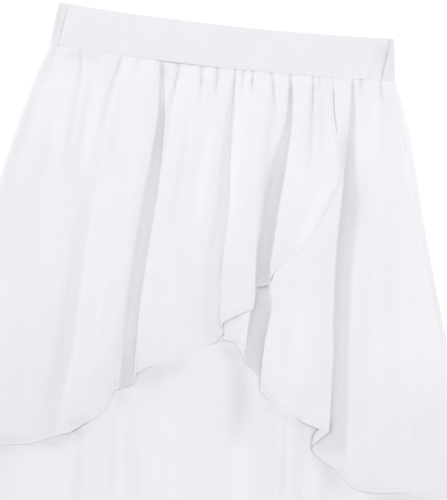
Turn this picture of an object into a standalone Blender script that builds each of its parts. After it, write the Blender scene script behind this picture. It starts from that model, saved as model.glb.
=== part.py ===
"""Dance skirt laid flat on its back, waist towards +Y, in metres with +Z up.

The garment is worked out in millimetres on the surface that it lies on: "across" runs to the right from
the middle of the waist, "down" runs from the top of the waist to the hem, "height" is above the surface.
Each panel is one open sheet, shaped as a grid whose columns follow the folds, and thickened to a wall.
"""
import bpy
import numpy as np

MM = 0.001
GAP = 0.3                 # between pieces that touch or are sewn together
CLOTH = 1.0               # wall of the chiffon panels

# waistband
BAND_LEAF = 3.0           # elastic in its casing
BAND_TOP_HALF = 160.0     # half of the width along the top edge
BAND_FLARE = 5.0          # how much each half widens down to the seam
BAND_TOP_MIDDLE = 4.6     # the top edge sags in its middle
BAND_TOP_BOW = 4.8
SEAM_MIDDLE = 45.2        # the gathered seam, at the middle and how far it rises at the sides
SEAM_BOW = 5.2
SEAM_HALF = 165.0
SIDE_SEAM_IN = 9.0        # the side seams of the band lie this far in from its ends
BAND_EDGE_ROUND = 0.8
BAND_EDGE_ANGLE = 50.0    # only edges sharper than this are rounded
BAND_EDGE_STEPS = 2

# lengths
BACK_HEM_MIDDLE = 436.0   # hem of the over-skirt's back
BACK_HEM_RISE = 18.0      # and how far it rises at the sides
UNDER_HEM_MIDDLE = 885.0
UNDER_HEM_RISE = 30.0

# how the layers lie on each other
SIDE_ROLL = 8.0           # the front petals turn down to the back panel over this width
BACK_STEP = 14.0          # the under-skirt's back comes down to the surface past the over-skirt's back
FRONT_STEP = 120.0        # and its front comes down more gently
PETAL_SLACK = 0.3         # extra room under each front petal
PETAL_TOP_GAP = 0.7       # from the band to a petal's lower face, whose upper face leans towards the band
NEST = 3.0                # a covered fold is wider than the one that lies in it
NEST_ENDS = 265.0         # from here down the fold comes out below the upper petal's hem
NEST_FADES = 45.0         # and loses its extra width over this length

EDGE_SHOWS = 6.0          # the right petal comes up to its full height this far past the left one's edge
HEM_SHOWS = 16.0          # and this far above the left one's hem
COVERED = ((42, 0.0), (85, 0.35), (130, 0.7), (175, 0.82), (430, 0.9))   # down, share of its height until then

FLAT_SHARE = 0.2          # share of the way to the next fold that belongs to a fold's own side
NEAR_CREASE = 0.06        # in the same share: a crown's middle column gives way to a gather this near
SAME_COLUMN = 0.012       # and two columns this near are one

# columns and rows of the grids
FOLD_PLACES = (0.0, 0.1, 0.15, 0.2, 0.5, 0.8, 0.86, 0.92)    # shares of the way from a fold to the next
LEFT_PETAL_ROWS = 20
RIGHT_PETAL_ROWS = 16
ROW_CROWDING = 1.25       # the petals' rows lie closer together at the gathers
BAND_ROWS = 4
BAND_FRONT_COLUMNS = 25
BAND_BACK_COLUMNS = 20
BAND_TURN_COLUMNS = 7     # round each end of the band
BACK_ROWS, BACK_COLUMNS = 11, 17
WAVE_COLUMNS = 4          # for each wave of the under-skirt's front
# Rows of the under-skirt: 0 is the seam, 1 and 2 are the ends of its step past the over-skirt's back,
# and 3 is the hem.
UNDER_BACK_ROWS = (0, 0.25, 0.5, 0.75, 1, 1.5, 2, 2.25, 2.5, 2.75, 3)
UNDER_FRONT_ROWS = (0, 0.2, 0.4, 0.55, 0.7, 0.85, 1, 1.25, 1.5, 1.75, 2, 2.25, 2.5, 2.75, 3)
SETTLES = 5               # rounds in which a point's across and down settle on each other


def table(names, *rows):
    """A small table: one array for each named column."""
    return {name: np.array(column, float) for name, column in zip(names.split(), zip(*rows))}


# Fold lines of the front, from the waist down. "left" and "right" are how far the trough reaches to each
# side of its line, "crown" the height of the cloth beside it and "floor" the height along the line.
FOLD_COLUMNS = "down across left right crown floor"
FOLDS = {
    "left side": table(FOLD_COLUMNS,
                       (42, -166, 8, 8, 1.2, 0.0), (85, -178.5, 8, 8, 1.5, 0.0), (130, -189, 8, 8, 2.2, 0.0),
                       (175, -199, 8, 8, 2.6, 0.0), (270, -223, 8, 8, 3.0, 0.0), (430, -264, 8, 8, 3.0, 0.0)),
    "far left": table(FOLD_COLUMNS,
                      (42, -95, 3, 3, 3.2, 0.4), (85, -103, 4, 4, 5.0, 3.4), (130, -107, 6, 5, 6.5, 5.0),
                      (175, -112, 8, 7, 7.0, 5.0), (225, -118, 10, 8, 7.5, 4.2), (320, -120, 13, 9, 7.5, 3.4),
                      (375, -126, 13, 10, 7.0, 3.0), (430, -131, 13, 10, 6.5, 3.2)),
    "left": table(FOLD_COLUMNS,
                  (42, -57, 3, 3, 3.6, 0.2), (85, -53, 6, 4, 7.0, 2.4), (130, -53, 9, 6, 9.0, 1.2),
                  (175, -57, 10, 8, 10.0, 0.4), (225, -59, 10, 8, 10.0, 0.2), (320, -59.5, 10, 8, 9.5, 0.2),
                  (430, -59, 9, 8, 8.5, 0.2)),
    "middle": table(FOLD_COLUMNS,
                    (42, 13, 3, 3, 3.6, 0.4), (85, 13, 5, 5, 7.0, 3.6), (130, 14, 7, 6, 9.0, 6.4),
                    (175, 17, 10, 6, 10.0, 7.0), (225, 14, 12, 7, 10.0, 6.4), (270, 17, 12, 7, 9.5, 5.0),
                    (320, 27, 12, 7, 9.0, 3.6), (430, 30, 12, 8, 8.5, 3.6)),
    "dark": table(FOLD_COLUMNS,
                  (42, 66, 3, 3, 3.6, 0.2), (85, 68, 4, 4, 7.0, 1.8), (130, 62, 12, 8, 9.5, 0.4),
                  (175, 59, 12, 9, 11.0, 0.0), (225, 60, 10, 9, 11.0, 0.0), (270, 62, 8, 8, 10.5, 0.0),
                  (320, 60, 8, 8, 9.5, 0.0), (430, 60, 8, 8, 8.5, 0.0)),
    "right": table(FOLD_COLUMNS,
                   (42, 120, 14, 5, 3.2, 0.2), (85, 122, 13, 6, 6.5, 0.6), (130, 131, 10, 9, 8.5, 0.2),
                   (175, 131, 8, 11, 8.4, 0.2), (225, 134, 7, 12, 8.6, 0.2), (320, 142, 8, 13, 9.0, 0.4),
                   (375, 146, 9, 13, 8.5, 0.8), (430, 150, 9, 13, 7.5, 1.2)),
    "right side": table(FOLD_COLUMNS,
                        (42, 166, 8, 8, 1.2, 0.0), (85, 183, 8, 8, 1.5, 0.0), (130, 195.5, 8, 8, 2.2, 0.0),
                        (175, 207.5, 8, 8, 2.6, 0.0), (270, 237, 8, 8, 3.0, 0.0), (430, 286, 8, 8, 3.0, 0.0)),
    "left petal's edge": table(FOLD_COLUMNS,
                               (42, 106, 6, 6, 2.4, 1.6), (72, 110, 6, 6, 5.5, 4.6), (99, 117, 6, 6, 7.0, 5.8),
                               (134, 126, 6, 6, 8.6, 7.8), (158, 118, 6, 6, 9.6, 9.2), (175, 112, 6, 6, 9.8, 9.4),
                               (430, 112, 6, 6, 9.8, 9.4)),
    "right petal's edge": table(FOLD_COLUMNS,
                                (42, -106, 6, 14, 1.0, 0.2), (99, -117, 6, 14, 2.5, 0.4),
                                (134, -126, 6, 14, 3.0, 0.4), (158, -118, 6, 14, 3.5, 0.4),
                                (430, -112, 6, 14, 4.5, 0.4)),
}
SHARP_LEFT = {"right", "dark"}      # folds whose left wall is steep
SHARP_RIGHT = {"left", "dark"}

LEFT_PETAL = ("left side", "far left", "left", "middle", "dark", "left petal's edge")
RIGHT_PETAL = ("right petal's edge", "left", "middle", "dark", "right", "right side")

# Hems of the petals, from the left to the right, across and down
LEFT_PETAL_HEM = table("across down",
                       (-262, 416), (-215, 421), (-170, 421), (-147, 417), (-131, 412), (-115, 404),
                       (-106, 402), (-95, 393), (-83, 386), (-71, 376), (-67, 360), (-58, 354), (-50, 345),
                       (-45, 336), (-31, 331), (-14, 322), (1, 316), (14, 309), (24, 303), (28, 284),
                       (40, 276), (53, 270), (56, 248), (65, 244.5), (67.5, 239), (70.5, 231), (84, 220.5),
                       (93, 213), (105, 193), (112, 173), (118, 158))
RIGHT_PETAL_HEM = table("across down",
                        (-118, 158), (-105, 193), (-84, 221), (-67, 242), (-52, 268), (-23, 290), (0, 301),
                        (24, 301), (31, 301), (41, 303), (47, 311), (56, 322), (65, 327), (74, 350), (84, 357),
                        (99, 363), (113, 370.5), (128, 374.5), (138.5, 377.5), (142, 394.5), (147, 409),
                        (155, 420), (163, 424.5), (174, 429), (186, 430), (217, 426), (233, 430), (256, 425),
                        (283, 419))

# Gathers at the seam between the folds: where they start, how long and how deep they are
GATHERS = table("across length depth",
                (-156, 18, 1.2), (-135, 44, 2.0), (-79, 20, 1.8), (-41, 38, 2.8), (-18, 32, 2.8), (-4, 28, 2.4),
                (22, 14, 2.0), (30, 26, 2.6), (47, 60, 3.0), (55, 16, 1.8), (79, 34, 2.6), (87, 66, 3.0),
                (96, 16, 2.0), (134, 24, 2.6), (150, 22, 2.2))
GATHER_HALF = 2.8         # half of a crease's width
GATHER_FADE = 1.3         # a gather loses its depth faster near the seam
LEFT_GATHERS = (-166.0, 104.0)      # the reach of the seam whose gathers are in the left petal
RIGHT_GATHERS = (100.0, 166.0)

# Soft waves of the under-skirt's front: each trough's way down the panel
WAVE_ROWS = (42, 200, 320, 400, 460, 600, 740, 890)
WAVES = {
    "left side": (-158, -197, -227, -247, -262, -298, -335, -375),
    "outer left": (-112, -145, -168, -188, -202, -234, -262, -292),
    "hip left": (-72, -90, -100, -106, -108, -128, -150, -174),
    "left": (-45, -60, -70, -73, -65, -66, -70, -76),
    "middle left": (-18, -32, -40, -42, -33, -30, -28, -26),
    "middle": (24, 36, 43, 46, 48, 58, 70, 82),
    "middle right": (56, 72, 83, 90, 95, 110, 128, 148),
    "right": (88, 104, 114, 118, 120, 146, 176, 206),
    "hip right": (124, 150, 172, 190, 202, 232, 262, 292),
    "right side": (159, 206, 243, 267, 285, 325, 361, 397),
}
WAVE_HEIGHT = table("down height", (42, 0.4), (200, 0.6), (300, 1.6), (350, 2.6), (400, 3.6), (460, 4.6),
                    (700, 6.0), (890, 8.0))

LEVEL_EDGE = 0.08         # share of the first and last wave that stays nearly level

WHITE_CHIFFON = (0.86, 0.86, 0.90, 1.0)
WHITE_BAND = (0.87, 0.87, 0.91, 1.0)
CHIFFON_ROUGH, OVER_ROUGH, BAND_ROUGH = 0.75, 0.7, 0.6


def through(rows, values, at):
    """Smooth curve through the table's points that never overshoots them."""
    rows, values = np.asarray(rows, float), np.asarray(values, float)
    secant = np.diff(values) / np.diff(rows)
    before, after = secant[:-1], secant[1:]
    total = np.where(before * after > 0, before + after, 1.0)
    inner = np.where(before * after > 0, 2 * before * after / total, 0.0)
    slope = np.concatenate([secant[:1], inner, secant[-1:]])
    at = np.clip(at, rows[0], rows[-1])
    k = np.clip(np.searchsorted(rows, at) - 1, 0, len(rows) - 2)
    span = rows[k + 1] - rows[k]
    f = (at - rows[k]) / span
    start = (2 * f**3 - 3 * f**2 + 1) * values[k] + (f**3 - 2 * f**2 + f) * span * slope[k]
    return start + (3 * f**2 - 2 * f**3) * values[k + 1] + (f**3 - f**2) * span * slope[k + 1]


def ease(f):
    """0 to 1 with level ends."""
    f = np.clip(f, 0.0, 1.0)
    return f * f * (3 - 2 * f)


def seam_down(across):
    return SEAM_MIDDLE - SEAM_BOW * (across / SEAM_HALF) ** 2


def band_top_down(across):
    return BAND_TOP_MIDDLE - BAND_TOP_BOW * (across / BAND_TOP_HALF) ** 2


def arc_down(across, left, right, middle, rise):
    """A hem that rises by the same amount towards both sides."""
    share = (2 * across - left - right) / (right - left)
    return middle - rise * share**2


def column(line, name, down):
    return through(FOLDS[line]["down"], FOLDS[line][name], down)


def fold_share(reach, sharp):
    """Height share up a fold's side: a level floor and a steep wall where it is sharp."""
    return ease(2 * reach - 1) if sharp else ease(reach)


def petal_at(lines, place, down, nest=0.0):
    """Across and height of a front petal.

    place is the fold line's number, with a share of the way to the next one: the first and last
    FLAT_SHARE of the way are the sides of the two troughs, and the cloth between them is the crown.
    """
    across = np.zeros(np.broadcast(place, down).shape)
    height = np.zeros_like(across)
    for number, (line, following) in enumerate(zip(lines[:-1], lines[1:])):
        here = (place >= number) & (place <= number + 1)
        here = np.broadcast_to(here, across.shape)
        share = np.broadcast_to(place - number, across.shape)[here]
        v = np.broadcast_to(down, across.shape)[here]
        widen = np.broadcast_to(nest, across.shape)[here]
        first, last = column(line, "across", v), column(following, "across", v)
        start = first + column(line, "right", v) + widen
        end = last - column(following, "left", v) - widen
        up = np.clip(share / FLAT_SHARE, 0, 1)
        away = np.clip((1 - share) / FLAT_SHARE, 0, 1)
        between = np.clip((share - FLAT_SHARE) / (1 - 2 * FLAT_SHARE), 0, 1)
        crown = column(line, "crown", v) * (1 - ease(between)) + column(following, "crown", v) * ease(between)
        across[here] = np.where(up < 1, first + (start - first) * up,
                                np.where(away < 1, last - (last - end) * away, start + (end - start) * between))
        low = np.where(up < 1, column(line, "floor", v), column(following, "floor", v))
        side = np.where(up < 1, fold_share(up, line in SHARP_RIGHT), fold_share(away, following in SHARP_LEFT))
        height[here] = low + (crown - low) * side
    return across, height


def place_of(lines, across, down):
    """The place on the fold lines of points given by their across and down."""
    places = np.linspace(0, len(lines) - 1, 40 * (len(lines) - 1) + 1)
    found = [np.interp(a, petal_at(lines, places, np.full_like(places, v))[0], places)
             for a, v in zip(across, down)]
    return np.array(found)


def wave_height(down):
    return through(WAVE_HEIGHT["down"], WAVE_HEIGHT["height"], down)


def back_hem(across):
    return arc_down(across, FOLDS["left side"]["across"][-1], FOLDS["right side"]["across"][-1],
                    BACK_HEM_MIDDLE, BACK_HEM_RISE)


def under_hem(across):
    return arc_down(across, WAVES["left side"][-1], WAVES["right side"][-1], UNDER_HEM_MIDDLE, UNDER_HEM_RISE)


def under_across(place, down):
    """Across of the under-skirt's panels: place counts its wave lines."""
    lines = np.array([through(WAVE_ROWS, way, down) for way in WAVES.values()])
    k = np.clip(np.floor(place).astype(int), 0, len(WAVES) - 2)
    share = place - k
    pick = np.indices(place.shape)
    return lines[k, pick[0], pick[1]] * (1 - share) + lines[k + 1, pick[0], pick[1]] * share


def lift_over_back(across, down, step):
    """Level of the under-skirt: on the over-skirt's back, then down on the surface past its hem."""
    return (CLOTH + GAP) * (1 - ease((down - back_hem(across) - GAP) / step))


def petal_floor(down):
    """The lowest level of a front petal, clear of the under-skirt's waves."""
    return 3 * (CLOTH + GAP) + wave_height(down) + PETAL_SLACK


def material(name, colour, roughness):
    made = bpy.data.materials.new(name)
    made.use_nodes = True
    shader = made.node_tree.nodes["Principled BSDF"]
    shader.inputs["Base Color"].default_value = colour
    shader.inputs["Roughness"].default_value = roughness
    shader.inputs["Metallic"].default_value = 0.0
    return made


def under_corner(side):
    """Across of the under-skirt's corner, where its side meets its hem."""
    across = WAVES[side][-1]
    for _ in range(SETTLES):
        across = through(WAVE_ROWS, WAVES[side], under_hem(across))
    return float(across)


def place_in_world(across, down, height):
    """Millimetres on the laid garment to metres, with the middle of the whole box at the origin."""
    middle_across = (under_corner("left side") + under_corner("right side")) / 2
    middle_down = (band_top_down(BAND_TOP_HALF) + UNDER_HEM_MIDDLE) / 2
    return np.stack([across - middle_across, middle_down - down, height], axis=-1) * MM


def cloth_sheet(name, points, finish, wall, side=1.0):
    """A grid primitive set to the points, which lie in rows from the waist down, and thickened.

    side is 1 for a wall on the faces' front and -1 for one behind them.
    """
    rows, columns = points.shape[:2]
    bpy.ops.mesh.primitive_grid_add(x_subdivisions=columns - 1, y_subdivisions=rows - 1, size=1.0)
    piece = bpy.context.object
    piece.name = piece.data.name = name
    mesh = piece.data
    flat = np.empty(len(mesh.vertices) * 3)
    mesh.vertices.foreach_get("co", flat)
    flat = flat.reshape(-1, 3)
    column_of = np.rint((flat[:, 0] + 0.5) * (columns - 1)).astype(int)
    row_of = np.rint((0.5 - flat[:, 1]) * (rows - 1)).astype(int)
    mesh.vertices.foreach_set("co", points[row_of, column_of].ravel())
    mesh.shade_smooth()
    mesh.materials.append(finish)
    thicken = piece.modifiers.new("wall", "SOLIDIFY")
    thicken.thickness = wall * MM
    thicken.offset = side
    thicken.use_even_offset = True
    piece.modifiers.new("level shading", "WEIGHTED_NORMAL")
    for collection in list(piece.users_collection):
        collection.objects.unlink(piece)
    bpy.data.collections["dance skirt"].objects.link(piece)
    return piece


def petal_columns(lines, gathers_from, gathers_to):
    """Columns on the folds' floors, walls and crowns, and on both lips and the bottom of each gather."""
    last = len(lines) - 1
    columns = [number + share for number in range(last) for share in FOLD_PLACES] + [last]
    seam = GATHERS["across"][(GATHERS["across"] > gathers_from) & (GATHERS["across"] < gathers_to)]
    lips = (seam[:, None] + GATHER_HALF * np.array([-1, 0, 1])).ravel()
    creases = place_of(lines, lips, seam_down(lips))
    creases = creases[(creases % 1 > FLAT_SHARE) & (creases % 1 < 1 - FLAT_SHARE)]
    apart = [p for p in columns if p % 1 != 0.5 or np.abs(creases - p).min() > NEAR_CREASE]
    merged = np.sort(np.concatenate([apart, creases]))
    return merged[np.concatenate([[True], np.diff(merged) > SAME_COLUMN])]


def gather_dip(lines, across, down):
    """How far the gathers' creases go down from the crown."""
    dip = np.zeros_like(across)
    for start, length, depth in zip(*GATHERS.values()):
        seam = seam_down(start)
        place = place_of(lines, [start], [seam])[0]
        line, _ = petal_at(lines, np.full_like(down, place), down)
        fade = np.clip(1 - (down - seam) / length, 0, 1) ** GATHER_FADE
        dip = np.maximum(dip, depth * fade * ease(1 - np.abs(across - line) / GATHER_HALF))
    return dip


def front_petal(name, lines, hem, rows, gathers, level, finish, covered=False):
    """A gathered petal whose rows run from the seam to its own hem."""
    places = petal_columns(lines, *gathers)
    hem_places = place_of(lines, hem["across"], hem["down"])
    hem_down = np.interp(places, hem_places, hem["down"])
    top_down = seam_down(petal_at(lines, places, np.full_like(places, SEAM_MIDDLE))[0]) + PETAL_TOP_GAP
    share = (np.linspace(0, 1, rows) ** ROW_CROWDING)[:, None]
    down = top_down + (hem_down - top_down) * share
    place = np.broadcast_to(places, down.shape)
    across, relief = petal_at(lines, place, down, covered_nest(down) if covered else 0.0)
    if covered:
        under = through(*zip(*COVERED), down)
        relief = relief * (under + (1 - under) * uncovered_share(across, down))
    dip = np.minimum(gather_dip(lines, across, down), relief)
    height = petal_floor(down) + level + relief - dip
    side_from = {"left side": across - column("left side", "across", down),
                 "right side": column("right side", "across", down) - across}
    for line in (lines[0], lines[-1]):
        if line in side_from:
            turn = np.sin(np.pi / 2 * np.clip(side_from[line] / SIDE_ROLL, 0, 1))
            height = (CLOTH + GAP) + (height - CLOTH - GAP) * turn
    return cloth_sheet(name, place_in_world(across, down, height), finish, CLOTH)


def waistband_front(finish):
    """The front leaf of the band, between the two side seams."""
    half = BAND_TOP_HALF - SIDE_SEAM_IN
    share, turn = np.meshgrid(np.linspace(0, 1, BAND_ROWS), np.linspace(-1, 1, BAND_FRONT_COLUMNS),
                              indexing="ij")
    across = turn * (half + BAND_FLARE * share)
    down = band_top_down(across) * (1 - share) + seam_down(across) * share
    height = np.full_like(across, BAND_LEAF + GAP)
    return cloth_sheet("waistband_front", place_in_world(across, down, height), finish, BAND_LEAF)


def waistband_back(finish):
    """The back leaf, which turns up round both ends of the band to the side seams.

    Its outer face is followed round: along the top, round the end, and along the surface.
    """
    bend = BAND_LEAF + GAP / 2
    ends = np.radians(np.linspace(90, -90, BAND_TURN_COLUMNS))
    flap = SIDE_SEAM_IN - GAP - bend
    right_across = np.concatenate([[BAND_TOP_HALF - bend - flap], BAND_TOP_HALF - bend + bend * np.cos(ends)])
    right_height = np.concatenate([[2 * bend], bend + bend * np.sin(ends)])
    middle_across = np.linspace(right_across[-1], -right_across[-1], BAND_BACK_COLUMNS)[1:-1]
    path_across = np.concatenate([right_across, middle_across, -right_across[::-1]])
    path_height = np.concatenate([right_height, np.zeros(len(middle_across)), right_height[::-1]])
    share = np.linspace(0, 1, BAND_ROWS)[:, None]
    across = path_across * (1 + BAND_FLARE / BAND_TOP_HALF * share)
    down = band_top_down(across) * (1 - share) + seam_down(across) * share
    height = np.broadcast_to(path_height, across.shape)
    return cloth_sheet("waistband_back", place_in_world(across, down, height), finish, BAND_LEAF, side=-1.0)


def round_edges(piece):
    soften = piece.modifiers.new("soft edges", "BEVEL")
    soften.width = BAND_EDGE_ROUND * MM
    soften.segments = BAND_EDGE_STEPS
    soften.limit_method = "ANGLE"
    soften.angle_limit = np.radians(BAND_EDGE_ANGLE)


def over_back(finish):
    """The over-skirt's back, flat on the surface."""
    share, turn = np.meshgrid(np.linspace(0, 1, BACK_ROWS), np.linspace(0, 1, BACK_COLUMNS), indexing="ij")
    down = SEAM_MIDDLE + (BACK_HEM_MIDDLE - SEAM_MIDDLE) * share
    for _ in range(SETTLES):
        left, right = column("left side", "across", down), column("right side", "across", down)
        across = left + (right - left) * turn
        top = seam_down(across) + GAP
        down = top + (back_hem(across) - top) * share
    height = np.zeros_like(across)
    return cloth_sheet("over_back", place_in_world(across, down, height), finish, CLOTH)


def under_panel(name, places, rows_at, finish, step, relief=0.0, level=0.0):
    """A long panel of the under-skirt on a grid of places across it and rows down it."""
    place = np.broadcast_to(places, (len(rows_at), len(places))).astype(float)
    down = np.full(place.shape, SEAM_MIDDLE)
    for _ in range(SETTLES):
        across = under_across(place, down)
        top, hem, foot = seam_down(across) + GAP, under_hem(across), back_hem(across) + GAP
        marks = np.stack([top, foot, foot + step, hem])
        part = np.array(rows_at)
        k = np.clip(part.astype(int), 0, 2)
        rows, columns = np.indices(place.shape)
        share = (part - k)[:, None]
        low = marks[k[:, None], rows, columns]
        down = low + (marks[k[:, None] + 1, rows, columns] - low) * share
    height = lift_over_back(across, down, step) + level + relief * wave_height(down) * np.sin(np.pi * place) ** 2
    return cloth_sheet(name, place_in_world(across, down, height), finish, CLOTH)


def uncovered_share(across, down):
    """0 where the left petal lies on the right one, 1 where the right one shows."""
    hem = LEFT_PETAL_HEM
    corner_across, corner_down = hem["across"][-1], hem["down"][-1]
    past_edge = ease((across - column("left petal's edge", "across", down)) / EDGE_SHOWS)
    past_hem = ease((down - np.interp(across, hem["across"], hem["down"])) / HEM_SHOWS + 1)
    return np.where((down < corner_down) | (across > corner_across), past_edge, past_hem)


def covered_nest(down):
    """Covered folds are wider, until the fold comes out below the upper petal's hem."""
    return NEST * (1 - ease((down - NEST_ENDS) / NEST_FADES))


def build():
    for old in list(bpy.data.objects):
        bpy.data.objects.remove(old)
    skirt = bpy.data.collections.new("dance skirt")
    bpy.context.scene.collection.children.link(skirt)
    chiffon = material("white chiffon", WHITE_CHIFFON, CHIFFON_ROUGH)
    over = material("white chiffon over-skirt", WHITE_CHIFFON, OVER_ROUGH)
    band = material("white elastic casing", WHITE_BAND, BAND_ROUGH)

    waistband_back(band)
    round_edges(waistband_front(band))
    over_back(over)
    under_panel("under_back", np.arange(len(WAVES)), UNDER_BACK_ROWS, chiffon, BACK_STEP)
    last = len(WAVES) - 1
    waves = np.linspace(0, last, WAVE_COLUMNS * last + 1)
    waves = np.sort(np.concatenate([waves, [LEVEL_EDGE, last - LEVEL_EDGE]]))
    under_panel("under_front", waves, UNDER_FRONT_ROWS, chiffon, FRONT_STEP, relief=1.0, level=CLOTH + GAP)
    front_petal("over_front_right", RIGHT_PETAL, RIGHT_PETAL_HEM, RIGHT_PETAL_ROWS, RIGHT_GATHERS,
                0.0, over, covered=True)
    front_petal("over_front_left", LEFT_PETAL, LEFT_PETAL_HEM, LEFT_PETAL_ROWS, LEFT_GATHERS,
                CLOTH + GAP + PETAL_SLACK, over)


build()
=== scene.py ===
"""Looks of the dance skirt laid flat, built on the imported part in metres, waist towards +Y.

Every cloth surface is a function of a place on the fold lines and a distance down the garment, worked out
in millimetres: "across" to the right from the middle of the waist, "down" from the top of the waist,
"height" above the surface that the skirt lies on.
"""
import bpy
import numpy as np
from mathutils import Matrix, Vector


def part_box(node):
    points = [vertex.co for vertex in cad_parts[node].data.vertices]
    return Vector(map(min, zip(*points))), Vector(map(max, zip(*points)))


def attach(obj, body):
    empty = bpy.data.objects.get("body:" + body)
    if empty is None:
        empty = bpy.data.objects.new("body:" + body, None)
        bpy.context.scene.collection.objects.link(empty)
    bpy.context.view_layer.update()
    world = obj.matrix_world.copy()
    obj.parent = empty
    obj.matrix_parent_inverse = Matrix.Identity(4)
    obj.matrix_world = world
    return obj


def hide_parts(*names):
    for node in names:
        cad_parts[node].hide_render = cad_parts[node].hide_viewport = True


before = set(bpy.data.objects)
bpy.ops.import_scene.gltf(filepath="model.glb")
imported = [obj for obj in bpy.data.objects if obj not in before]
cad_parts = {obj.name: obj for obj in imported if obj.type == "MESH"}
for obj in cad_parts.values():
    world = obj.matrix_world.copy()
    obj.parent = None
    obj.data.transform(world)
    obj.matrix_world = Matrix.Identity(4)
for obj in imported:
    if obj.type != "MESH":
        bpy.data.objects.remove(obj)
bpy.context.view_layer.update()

MM = 0.001
LAYER = 1.3               # from one panel of the part to the next: its wall and the gap
CLOTH = 0.35              # the chiffon's own thickness
SLACK = 0.3               # between a petal's folds and the cloth under them

# the photograph: its size, its scale, its turn and the pixel at the middle of the waist's top
PIXELS_WIDE, PIXELS_HIGH = 447, 500
PIXEL = 0.9456
WAIST_PIXEL = (226.75, 20.25)
TURN = np.radians(6.19)

# waistband
BAND_HEIGHT = 40.0
BAND_TOP_HALF, BAND_FLARE = 160.0, 5.0    # half its width at the top, and how much more at the seam
BAND_TOP_MIDDLE, BAND_TOP_BOW = 4.6, 4.8  # its top edge: down in the middle, and how much less at its ends
SEAM_MIDDLE, SEAM_BOW = 45.2, 5.2         # the same of the gathered seam
SEAM_HALF = BAND_TOP_HALF + BAND_FLARE
LEFT_SEAM_IN = (9.0, 9.0)      # from the band's end, at its top and at its bottom
RIGHT_SEAM_IN = (4.5, 13.5)
BAND_LEAF, LEAF_GAP = 3.0, 0.3            # thickness of each leaf, and the gap between the two
BAND_FACE = 6.3           # height of the front leaf's outer face
BAND_ROUND = 1.6          # width over which its edges are round
TOP_DROP = 1.3            # how far the face falls there at the top
SEAM_DROP, SEAM_GAP_SHARE = 0.03, 0.6     # the same at the seam, and the share of the groove's depth
BACK_TURNS_IN, FLAP_TURNS_IN = 1.1, 0.2   # the same for the back leaf, and for its flaps at the seam
FRONT_WALL, BACK_WALL = 1.6, 1.2          # of the two leaves' shells
RIB_PITCH, RIB_HEIGHT = 3.0, 0.10         # ribs of the elastic under the casing
RIBS_FADE = 4.0           # width over which they fade at the band's edges
RIBS_ALL_OVER = 0.12      # share of their height where the casing lies smooth
# where it lies tight: place at the band's top, shift towards its seam, half width, added share
RIB_PLACES = ((138, -10, 6, 2.6), (147, 0, 5, 1.6))

# lengths
BACK_HEM_MIDDLE, BACK_HEM_RISE = 436.0, 18.0
UNDER_HEM_MIDDLE, UNDER_HEM_RISE = 885.0, 30.0
SIDE_ROLL = 3.5           # width over which a petal turns down at the skirt's side
BACK_STEP, FRONT_STEP = 14.0, 120.0       # over which the under-skirt comes down past the back's hem
BACK_MIDDLE, BACK_LOWEST = 0.55, 0.25     # heights of the over-skirt's back
UNDER_MIDDLE = 0.6        # height of the under-skirt's back where it lies on the surface
WAVE_KEEPS, WAVE_DIP = 0.1, 0.3           # a crease leaves at least that share of a wave, less that depth

# light: the room is a little brighter near its walls than overhead, so troughs lie in soft shade
SKY_LOW, SKY_HIGH = 1.335, 0.94
SUN_ENERGY, SUN_ANGLE = 0.25, np.radians(40)
SUN_TURN = (np.radians(-12), np.radians(-66), 0)
FLOOR_GLOW = 0.25         # keeps the floor white where the skirt shades it

# sewing
HEM = 3.6                 # narrow turned hem
HEM_LIFT = 0.45           # its extra layers
HEM_ROUND = 0.85          # share of them that is gone at the very edge, which is rolled
HEM_ROLL, HEM_INNER = 0.8, 0.9            # widths of that roll and of the step at the hem's inner side
UNDER_HEM_SHARE = 0.8     # the same hem is lower on the under-skirt
BACK_HEM_LIFT = 0.3       # and on the over-skirt's back
HEM_CLEAR = 0.4           # a hem that lies down is this far above the cloth under it
HEM_TURNS = 7.5           # length over which a petal's hem turns down
SLANT_MOST = 2.6          # how far down a millimetre across a slanting hem reaches at most
SMOOTH = (0.25, 0.5, 0.25)     # evens out how a hem slants from point to point
STITCH_IN = 2.8           # the stitch line, from the hem's edge
GROOVE_WIDTH, GROOVE_DEPTH = 0.45, 0.3    # the groove that the stitches pull in
STITCH_PITCH, STITCH_LENGTH = 3.0, 2.2
STITCH_LIFT, THREAD = 0.12, 0.16          # how far the thread lies over the cloth, and its radius
OVERLOCK_BARS, OVERLOCK_RUN = 34, (0.02, 0.93)      # how many, and where they start and end down the band
OVERLOCK_SIDES = (-1.9, 1.6)   # how far they reach to both sides of the seam
OVERLOCK_LIFT, OVERLOCK_THREAD = 0.3, 0.32          # the same of their thread
# rows of a turned hem, from its edge
HEM_STEPS = np.array([6.5, 5.4, 4.7, 4.2, 3.8, 3.3, 2.8, 2.3, 1.6, 0.8, 0.0])

# the gathers under the band and the fall of the folds
PUFF, PUFF_START = 15.0, 0.1      # the cloth swells to its full height over this, part of it at once
PUFF_WAVES = ((0.35, 7.3, 0.0), (0.25, 3.1, 1.0))   # its unevenness: share, length across and start
SEAM_DIP, SEAM_DIP_SHARE = 1.6, 0.6       # the most of a gather's depth that counts at the seam
DROOP = 40.0              # the folds sink towards the hem over this length
FAN = 0.0017              # how much the cloth widens with each millimetre down
PIPE_HEIGHT, PIPE_LENGTH = 2.0, 24.0      # rounded pipes between the gathers
PIPE_POWER = 0.5          # of their sine: the lower, the fuller
FOLD_KEEPS, FOLD_DIP = 0.12, 0.8          # a crease leaves at least that share of a fold, less that depth
EDGE_FALLS, EDGE_FALL_WIDTH = 1.2, 6.0    # the left petal's free edge falls by this over this width
CREASE_HEAD = 8.0         # a crease reaches this far past its head
CREASE_WIDENS = 0.5       # share by which it is wider at its foot
CREASE_LEANS = 0.6        # share by which a lean of 1 narrows one side and widens the other
GATHER_FADES = 0.7        # power by which a gather fades towards its foot


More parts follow.
